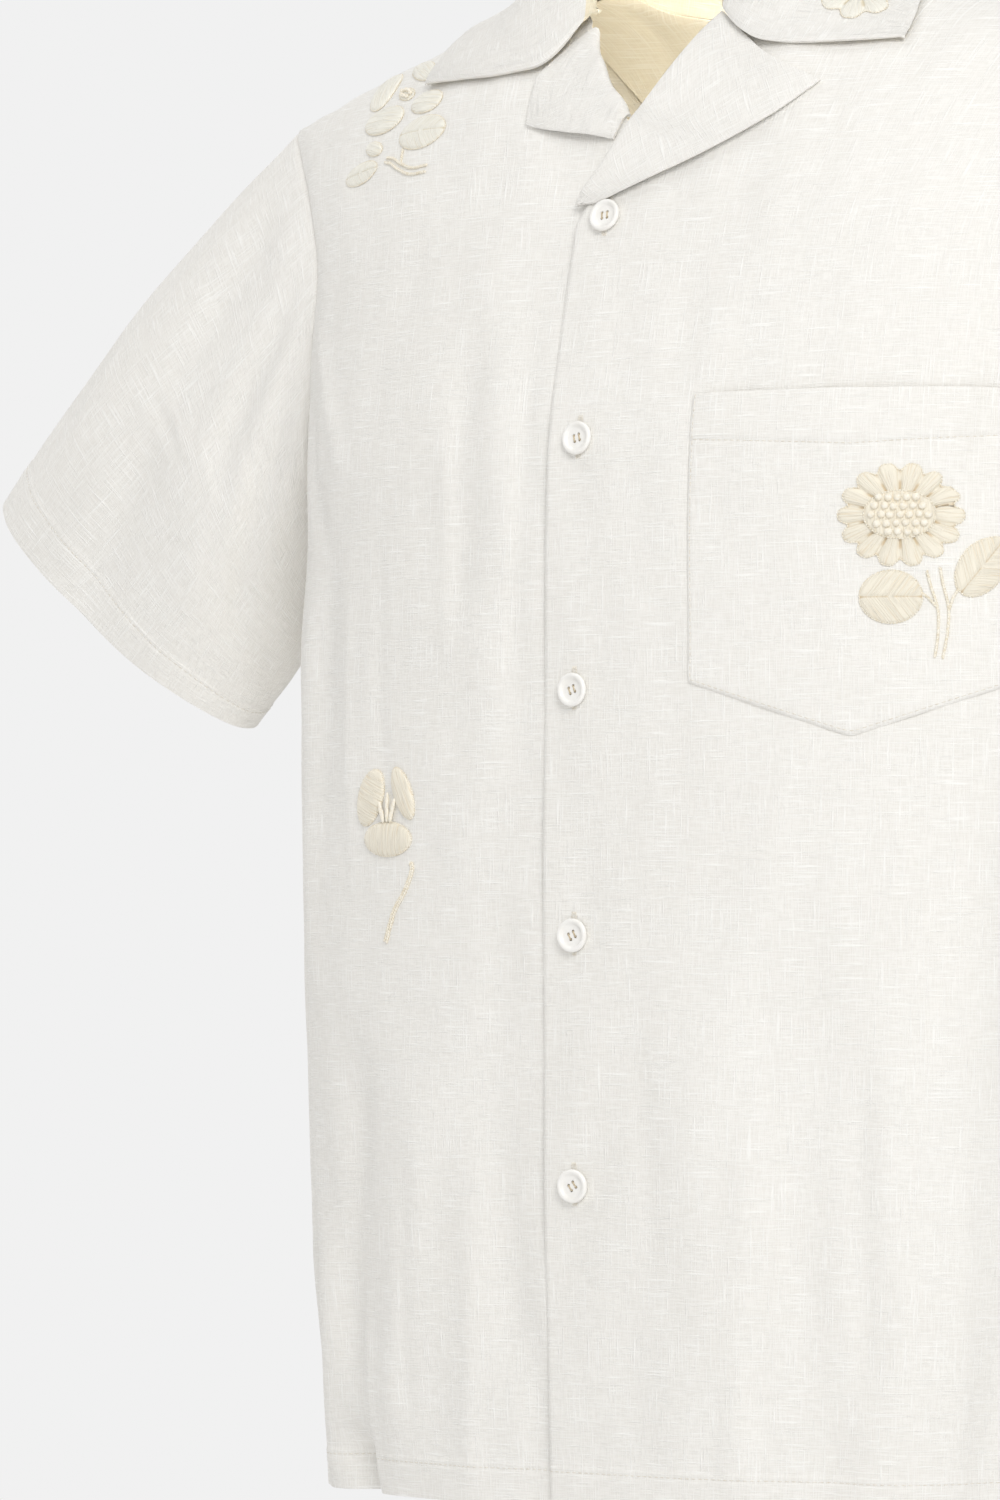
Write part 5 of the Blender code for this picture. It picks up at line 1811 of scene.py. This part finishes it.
class Drawing:
    """Flat drawing plane that touches a panel, for laying a raised motif on it."""

    def __init__(self, tree: BVHTree, centre: Sequence[float], lean_degrees: float = 0.0) -> None:
        """Sets the plane on the outer face nearest to a point.

        Args:
            tree: Search tree over the cloth's outer face.
            centre: The point, in millimetres.
            lean_degrees: Turn of the drawing, anticlockwise.
        """
        self.tree = tree
        self.centre, self.normal = outer_point(tree, centre)
        self.right = Vector((0.0, 0.0, 1.0)).cross(self.normal).normalized()
        self.up = self.normal.cross(self.right).normalized()
        self.lean = math.radians(lean_degrees)

    def point(self, across: float, up: float, lift: float) -> tuple[Vector, Vector]:
        """Point of the cloth below a point of the drawing, lifted off it, and its direction."""
        turned_across = across * math.cos(self.lean) - up * math.sin(self.lean)
        turned_up = across * math.sin(self.lean) + up * math.cos(self.lean)
        flat = self.centre + self.right * turned_across + self.up * turned_up
        foot, normal, _, _ = self.tree.find_nearest(flat + self.normal * 2.0)
        return foot + normal * lift, normal


def petal_outline(length: float, width: float, pointed: float = 0.0) -> Outline:
    """Outline of a petal or leaf along its own length.

    Args:
        length: Its length, in millimetres.
        width: Its width.
        pointed: How far it narrows at its far end.

    Returns:
        The outline by angle.
    """
    def outline(angle: np.ndarray) -> tuple[np.ndarray, np.ndarray]:
        """Across and up at an angle."""
        reach = np.cos(angle)
        narrow = 1.0 - pointed * np.maximum(reach, 0.0) ** 2
        return length / 2 * reach, width / 2 * np.sin(angle) * narrow
    return outline


@dataclass
class Motif:
    """One raised petal, leaf or flower head of laid thread, edged with a twisted stitch."""

    name: str
    outline: Outline
    height: float
    lay: Lay
    lobes: int = 0
    groove: float = 1.3
    base: float = 0.0
    rings: int = 14
    turns: int = 72
    midrib: bool = False

    def relief(
        self, share: np.ndarray, angle: np.ndarray, across: np.ndarray,
    ) -> tuple[np.ndarray, np.ndarray]:
        """Height of the thread over the drawing, and the share of its colour left clear of painted shade.

        Args:
            share: Share of the way from the middle to the edge.
            angle: Angle round the drawing.
            across: Distance off the middle line, as a share of the half width.

        Returns:
            Heights in millimetres, and shares of colour left clear of painted shade: 0 in a groove, 1 on top.
        """
        height = self.height * (0.22 + 0.78 * np.sqrt(np.maximum(1.0 - share ** 2.6, 0.0)))
        # Painted shade: darker towards the outer edge, in the grooves between lobes and along the midrib.
        crown = np.ones_like(height) * (1.0 - 0.5 * share ** 10)
        if self.lobes:
            between = (0.5 - 0.5 * np.cos(self.lobes * angle)) ** 5
            height = height - self.groove * between * np.minimum(share * 1.6, 1.0)
            shaded = blend(0.95, 0.35, ease((share - 0.7) / 0.15)) * ease((share - 0.25) / 0.3)
            crown = crown - between * shaded
        if self.midrib:
            rib = bell(across, 0.07)
            height = height - 0.55 * rib
            crown = crown - 0.75 * rib
        return np.maximum(height, self.height * 0.12), np.clip(crown, 0.0, 1.0)

    def thread_place(self, across: np.ndarray, up: np.ndarray, angle: np.ndarray) -> np.ndarray:
        """Place across the threads and along them, in metres, as the lay has it."""
        if self.lay is Lay.RADIAL:
            return np.stack((angle * 20.0, np.hypot(across, up)), axis=-1) * MM
        if self.lay is Lay.ALONG:
            return np.stack((up, across), axis=-1) * MM
        if self.lay is Lay.ACROSS:
            return np.stack((across, up), axis=-1) * MM
        return np.stack((across - 0.75 * np.abs(up), up), axis=-1) * MM

    def build(self, drawing: Drawing, finishes: Finishes, node: str, pale: bool = False) -> bpy.types.Object:
        """Makes the motif on its drawing plane.

        Args:
            drawing: Plane on the cloth.
            finishes: The materials.
            node: Solid that it stands for.
            pale: Whether its thread is the paler one.

        Returns:
            The raised piece.
        """
        start = math.pi / self.lobes if self.lobes else 0.0
        angle = start + np.linspace(0.0, 2 * math.pi, self.turns, endpoint=False)[None, :]
        share = (np.linspace(0.0, 1.0, self.rings + 1) ** 0.8)[1:, None]
        edge_across, edge_up = self.outline(angle)
        across, up = edge_across * share, edge_up * share
        half = float(np.abs(edge_up).max())
        height, crown = self.relief(share + 0 * angle, angle + 0 * share, up / half)
        thread = self.thread_place(across, up, angle + 0 * share)
        mesh = bmesh.new()
        layer = mesh.loops.layers.uv.new("thread")
        # Vertex attribute that carries the painted shade to the thread's material.
        shade = mesh.verts.layers.float.new("crown")
        top, _ = drawing.point(0.0, 0.0, self.base + float(height[0, 0]))
        middle = mesh.verts.new(top * MM)
        middle[shade] = float(crown[0].max())
        places = {middle: thread[0].mean(axis=0)}
        rows = []
        edge_points, edge_normals = [], []
        for ring in range(self.rings + 1):
            index = min(ring, self.rings - 1)
            row = []
            for turn in range(self.turns):
                lift = float(height[index, turn]) if ring < self.rings else -0.25
                here = float(across[index, turn]), float(up[index, turn])
                point, normal = drawing.point(*here, self.base + lift)
                corner = mesh.verts.new(point * MM)
                # Painted shade at the outer ring, where the thread meets the cloth.
                corner[shade] = float(crown[index, turn]) * (1.0 if ring < self.rings else 0.4)
                places[corner] = thread[index, turn]
                row.append(corner)
                if ring == self.rings:
                    edge_points.append(point + normal * (0.25 + self.height * 0.1))
                    edge_normals.append(normal)
            rows.append(row)
        for turn in range(self.turns):
            after = (turn + 1) % self.turns
            mesh.faces.new((middle, rows[0][turn], rows[0][after]))
            for inner, outer in zip(rows, rows[1:]):
                mesh.faces.new((inner[turn], outer[turn], outer[after], inner[after]))
        for face in mesh.faces:
            for loop in face.loops:
                loop[layer].uv = places[loop.vert]
        bmesh.ops.holes_fill(mesh, edges=mesh.edges, sides=0)
        bmesh.ops.recalc_face_normals(mesh, faces=mesh.faces)
        data = bpy.data.meshes.new(self.name)
        mesh.to_mesh(data)
        mesh.free()
        data.shade_smooth()
        piece = new_piece(self.name, data, (finishes.pale_motif if pale else finishes.motif,))
        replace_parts(piece, node)
        edging = along_line(
            np.array(edge_points), np.array(edge_normals), EDGE_STITCH, 1.25, slant=0.35, sunk=0.25,
            closed=True)
        lay_balls(self.name + "_edging", edging, finishes.edging, 6, 4)
        return piece


@dataclass(frozen=True)
class MotifRow:
    """One row of a motif table: where a petal or leaf lies, its size and its lean."""

    name: str
    x: float
    y: float
    z: float
    length: float
    width: float
    pointed: float
    height: float
    lean: float
    lay: Lay = Lay.ALONG
    midrib: bool = False


SPRAY = tuple(MotifRow(*row) for row in (
    ("spray_petal_top", -140, -42, -33.5, 36, 11, 0.0, 2.2, -22),
    ("spray_petal_left", -163, -40, -41.5, 31, 17, 0.0, 2.2, -62),
    ("spray_petal_low", -151, -59, -59.5, 30, 16, 0.0, 2.6, 0),
    ("spray_petal_right", -122, -64.5, -53.5, 22, 13, 0.0, 2.2, -1),
    ("spray_bud", -152, -66, -74.5, 15, 7, 0.0, 1.8, -14),
    ("spray_leaf", -118, -74, -69.5, 32, 18, 0.1, 2.2, 1, Lay.HERRINGBONE, True),
    ("spray_leaf_small", -157.5, -69, -86, 24, 11.5, 0.1, 1.8, 10, Lay.HERRINGBONE, True),
))
TULIP = tuple(MotifRow(*row) for row in (
    ("tulip_petal_left", -118, -115.5, -379.5, 27, 17, 0.1, 2.2, 66, Lay.ACROSS),
    ("tulip_petal_right", -96, -120.5, -378, 26, 12, 0.1, 2.2, -62, Lay.ALONG),
    ("tulip_cup", -106, -118.5, -398.5, 33, 15.5, 0.0, 2.4, -1, Lay.ACROSS),
))
SUNFLOWER_LEAVES = tuple(MotifRow(*row) for row in (
    ("sunflower_leaf_round", 146, -103, -296.5, 28, 23, 0.0, 2.2, 0, Lay.HERRINGBONE, True),
    ("sunflower_leaf_pointed", 180, -82, -283, 31, 20, 0.35, 2.2, 50, Lay.HERRINGBONE, True),
))


@dataclass
class Embroidery:
    """Padded flowers in cream thread: sunflower, shoulder spray, tulip and collar flower."""

    finishes: Finishes
    rope_stitch: Stitch = Stitch(2.1, 1.35, 1.2)
    seed_rows: tuple[int, ...] = (5, 6, 7, 6, 4)
    seed_pitch: float = 4.1
    seed_row_pitch: float = 3.75

    def leaves(self, table: Iterable[MotifRow], tree: BVHTree, pale: bool = False) -> None:
        """Lays a table's petals and leaves on a panel.

        Args:
            table: Rows of the table.
            tree: Search tree over the cloth.
            pale: Whether their thread is the paler one.
        """
        for row in table:
            outline = petal_outline(row.length, row.width, row.pointed)
            motif = Motif(row.name + "_raised", outline, row.height, row.lay, midrib=row.midrib)
            motif.build(Drawing(tree, (row.x, row.y, row.z), row.lean), self.finishes, row.name, pale)

    def head(
        self, name: str, centre: tuple[float, float, float], half_size: tuple[float, float],
        petals: int, notch: float, tree: BVHTree,
    ) -> Drawing:
        """Lays the ring of petals of a flower head.

        Args:
            name: Name of the ring's solid.
            centre: Its middle, in millimetres.
            half_size: Half width and half height.
            petals: How many petals.
            notch: How deep the outline dips between petals.
            tree: Search tree over the cloth.

        Returns:
            The drawing plane.
        """
        def outline(angle: np.ndarray) -> tuple[np.ndarray, np.ndarray]:
            """Across and up at an angle."""
            swell = 1.0 - notch * (0.5 - 0.5 * np.cos(petals * angle)) ** 2
            return half_size[0] * swell * np.cos(angle), half_size[1] * swell * np.sin(angle)
        drawing = Drawing(tree, centre)
        motif = Motif(name + "_raised", outline, 2.3, Lay.RADIAL, lobes=petals, rings=20, turns=petals * 14)
        motif.build(drawing, self.finishes, name, pale=name == "collar_flower")
        return drawing

    def sunflower(self, tree: BVHTree) -> None:
        """Sunflower on the pocket: petals, seed knots in a twisted ring, leaves and stem."""
        drawing = self.head("sunflower_petals", (150, -102, -261), (28, 22.5), 14, 0.14, tree)
        seeds = Motif("sunflower_seeds_raised", petal_outline(32, 21), 0.9, Lay.ACROSS, base=2.0, rings=10)
        seeds.build(drawing, self.finishes, "sunflower_seeds")
        knots = []
        draw = np.random.default_rng(23)
        for row, count in enumerate(self.seed_rows):
            up = ((len(self.seed_rows) - 1) / 2 - row) * self.seed_row_pitch
            for place in range(count):
                across = (place - (count - 1) / 2) * self.seed_pitch + 0.5 * (row - 2)
                across, high = across + draw.uniform(-0.25, 0.25), up + draw.uniform(-0.25, 0.25)
                point, normal = drawing.point(across, high, 3.1)
                knot = Stitch(*draw.uniform((3.4, 3.1, 2.6), (3.9, 3.5, 3.0)))
                knots.append(knot.placed(point, drawing.right, normal))
        lay_balls("sunflower_seed_knots", knots, self.finishes.knots, 14, 9)
        self.leaves(SUNFLOWER_LEAVES, tree)
        self.stem("sunflower_stem", tree, (
            (163.5, -96, -284.5), (165, -96, -291), (167.5, -95, -302), (167.5, -95.5, -312),
            (166.2, -96.5, -323)), gaps=(6.0, 3.4))
        self.rope("sunflower_stalk_left", tree, (
            (156.7, -101, -294.6), (161, -98.8, -296), (165, -96.5, -300.8)))
        self.rope("sunflower_stalk_right", tree, (
            (173.3, -90.7, -292.8), (171.3, -92.3, -296.3), (169.5, -94, -303)))

    def spray(self, tree: BVHTree) -> None:
        """Flower spray on the right shoulder, with knots at its eye."""
        self.leaves(SPRAY, tree, pale=True)
        drawing = Drawing(tree, (-142, -53.5, -46.5), -18)
        eye = Motif("spray_eye_raised", petal_outline(16, 7), 1.0, Lay.ALONG, rings=8, turns=40)
        eye.build(drawing, self.finishes, "spray_eye", pale=True)
        knots = []
        for across, up in (
            (-5.6, 0.2), (-2.6, 1.5), (1.0, 1.7), (4.8, 1.0), (-3.2, -1.6), (0.6, -1.6), (4.0, -1.4),
        ):
            point, normal = drawing.point(across, up, 1.5)
            knots.append(Stitch(2.9, 2.2, 1.8).placed(point, drawing.right, normal))
        lay_balls("spray_eye_knots", knots, self.finishes.knots, 12, 8)
        self.stem("spray_stem", tree, (
            (-140, -73, -81.5), (-135, -75, -82.5), (-128, -78, -86), (-119, -81.5, -89),
            (-108.5, -83.5, -88.5)), gaps=(2.4, 3.4))
        self.rope("spray_leaf_stalk", tree, (
            (-128.9, -74.5, -77), (-128.3, -76.5, -81.5), (-127.8, -77, -84.5)))

    def tulip(self, tree: BVHTree) -> None:
        """Tulip low on the right front, with stamens between its petals."""
        self.leaves(TULIP, tree)
        drawing = Drawing(tree, (-106, -118.5, -383.5))
        stamens = []
        for across, up, lean, length in (
            (-4.4, -1.4, -0.35, 9.0), (-2.9, -4.4, -0.2, 7.0), (0.2, 1.2, 0.05, 11.0), (0.5, -3.6, 0.0, 8.0),
            (4.4, -0.8, 0.35, 9.5), (3.2, -4.4, 0.2, 7.0),
        ):
            point, normal = drawing.point(across, up, 1.5)
            run = drawing.up + drawing.right * lean
            stamens.append(Stitch(length, 2.3, 1.8).placed(point, run, normal))
        lay_balls("tulip_stamens", stamens, self.finishes.knots, 10, 7)
        self.stem("tulip_stem", tree, (
            (-90, -122, -409), (-89.5, -122, -413), (-94, -121, -422), (-101, -120, -431),
            (-107, -118, -445)), gaps=(0.9, 1.5))

    def collar_flower(self, tree: BVHTree) -> None:
        """Round flower on the left half of the collar."""
        drawing = self.head("collar_flower", (97, -50, -21), (18, 17), 7, 0.22, tree)
        eye = Motif(
            "collar_flower_eye_raised", petal_outline(10, 9), 1.2, Lay.RADIAL, base=2.0, rings=8, turns=40)
        eye.build(drawing, self.finishes, "collar_flower_eye", pale=True)

    def line(
        self, tree: BVHTree, route: Sequence[Sequence[float]],
    ) -> tuple[np.ndarray, np.ndarray, np.ndarray]:
        """Smooth line over the cloth through rough points.

        Args:
            tree: Search tree over the cloth.
            route: Points near the cloth.

        Returns:
            Points, the cloth's outward directions and the directions to the line's side.
        """
        route = np.array(route, dtype=float)
        places = smooth_curve(np.linspace(0, len(route) - 1, 40), np.arange(len(route)), route)
        feet, normals = [], []
        for place in places:
            foot, normal = outer_point(tree, place)
            feet.append(foot)
            normals.append(normal)
        feet, normals = np.array(feet), np.array(normals)
        return feet, normals, unit(np.cross(normals, np.gradient(feet, axis=0)))

    def rope(self, name: str, tree: BVHTree, route: Sequence[Sequence[float]]) -> None:
        """Single row of twisted stitches along a leaf's stalk."""
        feet, normals, _ = self.line(tree, route)
        stitches = along_line(feet, normals, self.rope_stitch, 1.2, slant=0.45, sunk=0.35)
        lay_balls(name, stitches, self.finishes.edging, 8, 5)

    def stem(
        self, name: str, tree: BVHTree, route: Sequence[Sequence[float]], gaps: tuple[float, float],
    ) -> None:
        """Twin rows of twisted stitches along a stem.

        Args:
            name: Name of the stem's solid.
            tree: Search tree over the cloth.
            route: Points near the cloth that the stem follows.
            gaps: Distance between the rows at the first point and at the last.
        """
        feet, normals, across = self.line(tree, route)
        gap = np.linspace(gaps[0], gaps[1], len(feet))[:, None]
        stitches = []
        for side in (-1.0, 1.0):
            row = feet + across * gap * side / 2
            stitches += along_line(row, normals, self.rope_stitch, 1.2, slant=0.45 * side, sunk=0.35)
        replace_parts(lay_balls(name + "_stitches", stitches, self.finishes.edging, 8, 5), name)

    def build(self, pocket: Sheet, right_front: Sheet, collar: Sheet) -> None:
        """Makes every flower.

        Args:
            pocket: Outer face of the pocket.
            right_front: Outer face of the right front.
            collar: Outer face of the collar.
        """
        self.sunflower(pocket.tree())
        front = right_front.tree()
        self.spray(front)
        self.tulip(front)
        self.collar_flower(collar.tree())
        LOG.info("embroidery done")


@dataclass
class Studio:
    """Plain pale floor, soft light, and a camera at the photograph's angle."""

    azimuth: float = 33.0
    distance: float = 3.0
    eye_height: float = -0.452
    focal_pixels: float = 6522.0
    frame_width: float = 1000.0
    frame_height: float = 1500.0
    ahead_pixel: tuple[float, float] = (730.0, 953.6)
    floor_height: float = -1.45
    floor_glow: float = 0.58
    backdrop: tuple[float, float, float] = (0.879, 0.879, 0.879)
    ambient: float = 0.50
    # name, place, size, watts, aim
    lamps: tuple[tuple, ...] = (
        ("key", (2.5, -2.3, 1.6), 1.6, 66.0, (0.0, 0.0, -0.3)),
        ("top", (-0.4, -0.8, 2.6), 1.6, 17.0, (0.0, 0.0, -0.3)),
        ("low", (1.4, -2.9, -0.55), 1.5, 16.0, (0.0, 0.0, -0.6)),
        ("fill", (-3.0, 0.2, 0.2), 2.2, 26.0, (0.0, 0.0, -0.3)),
        ("back_fill", (-0.6, 2.8, 1.4), 2.4, 34.0, (0.0, 0.0, -0.3)),
        ("neck_fill", (0.030, -0.030, -0.075), 0.07, 0.17, (-0.045, 0.09, -0.07)),
    )

    def camera(self) -> None:
        """Places the camera, turned so that the photograph's middle is its own."""
        turn = math.radians(self.azimuth)
        ahead = Vector((-math.sin(turn), math.cos(turn), 0.0))
        right = Vector((math.cos(turn), math.sin(turn), 0.0))
        look = ahead + right * (self.frame_width / 2 - self.ahead_pixel[0]) / self.focal_pixels
        look += Vector((0, 0, 1)) * (self.ahead_pixel[1] - self.frame_height / 2) / self.focal_pixels
        data = bpy.data.cameras.new("camera")
        data.sensor_fit = "VERTICAL"
        data.sensor_height = 36.0
        data.lens = self.focal_pixels / self.frame_height * data.sensor_height
        camera = bpy.data.objects.new("camera", data)
        camera.location = -ahead * self.distance + Vector((0, 0, self.eye_height))
        camera.rotation_mode = "QUATERNION"
        camera.rotation_quaternion = look.to_track_quat("-Z", "Y")
        bpy.context.scene.collection.objects.link(camera)
        bpy.context.scene.camera = camera

    def world(self) -> None:
        """Even pale surroundings: brighter to the eye than as light."""
        world = bpy.data.worlds.new("studio")
        world.use_nodes = True
        nodes, links = world.node_tree.nodes, world.node_tree.links
        light = nodes["Background"]
        light.inputs["Color"].default_value = (*self.backdrop, 1.0)
        light.inputs["Strength"].default_value = self.ambient
        seen = nodes.new("ShaderNodeBackground")
        seen.inputs["Color"].default_value = (*self.backdrop, 1.0)
        path = nodes.new("ShaderNodeLightPath")
        mix = nodes.new("ShaderNodeMixShader")
        links.new(path.outputs["Is Camera Ray"], mix.inputs["Fac"])
        links.new(light.outputs["Background"], mix.inputs[1])
        links.new(seen.outputs["Background"], mix.inputs[2])
        links.new(mix.outputs["Shader"], nodes["World Output"].inputs["Surface"])
        bpy.context.scene.world = world
        bpy.context.scene.view_settings.view_transform = "Standard"

    def lamp(
        self, name: str, place: tuple[float, float, float], size: float, watts: float,
        aim: tuple[float, float, float],
    ) -> None:
        """Soft square lamp that the camera doesn't see.

        Args:
            name: Lamp's name.
            place: Where it hangs, in metres.
            size: Its width and height.
            watts: Its power.
            aim: Point that it faces.
        """
        data = bpy.data.lights.new(name, "AREA")
        data.shape = "SQUARE"
        data.size = size
        data.energy = watts
        lamp = bpy.data.objects.new(name, data)
        lamp.location = place
        lamp.rotation_mode = "QUATERNION"
        lamp.rotation_quaternion = (Vector(aim) - Vector(place)).to_track_quat("-Z", "Y")
        lamp.visible_camera = False
        bpy.context.scene.collection.objects.link(lamp)

    def floor(self) -> None:
        """Wide pale floor well below the hem."""
        mesh = bmesh.new()
        bmesh.ops.create_circle(mesh, cap_ends=True, segments=96, radius=6.0)
        data = bpy.data.meshes.new("floor")
        mesh.to_mesh(data)
        mesh.free()
        data.transform(Matrix.Translation((0, 0, self.floor_height)))
        finish = Finish("floor_paint", (0.25, 0.25, 0.25), 0.9)
        finish.shader.inputs["Emission Color"].default_value = (1.0, 1.0, 1.0, 1.0)
        finish.shader.inputs["Emission Strength"].default_value = self.floor_glow
        data.materials.append(finish.material)
        floor = bpy.data.objects.new("floor", data)
        bpy.context.scene.collection.objects.link(floor)

    def build(self) -> None:
        """Makes the camera, the light and the floor."""
        self.camera()
        self.world()
        for lamp in self.lamps:
            self.lamp(*lamp)
        self.floor()


def main() -> None:
    """Builds the shirt's pieces in order and reports each."""
    logging.basicConfig(level=logging.INFO, format="%(name)s: %(message)s")
    Studio().build()
    finishes = Finishes()
    body = Body(finishes).build()
    for side in Side:
        Sleeve(finishes, side).build()
    collar = Neck(finishes).build()
    pocket = Pocket(finishes).build()
    Buttons(finishes).build(body["front_left"])
    Embroidery(finishes).build(pocket, body["front_right"], collar)


if __name__ == "__main__":
    main()
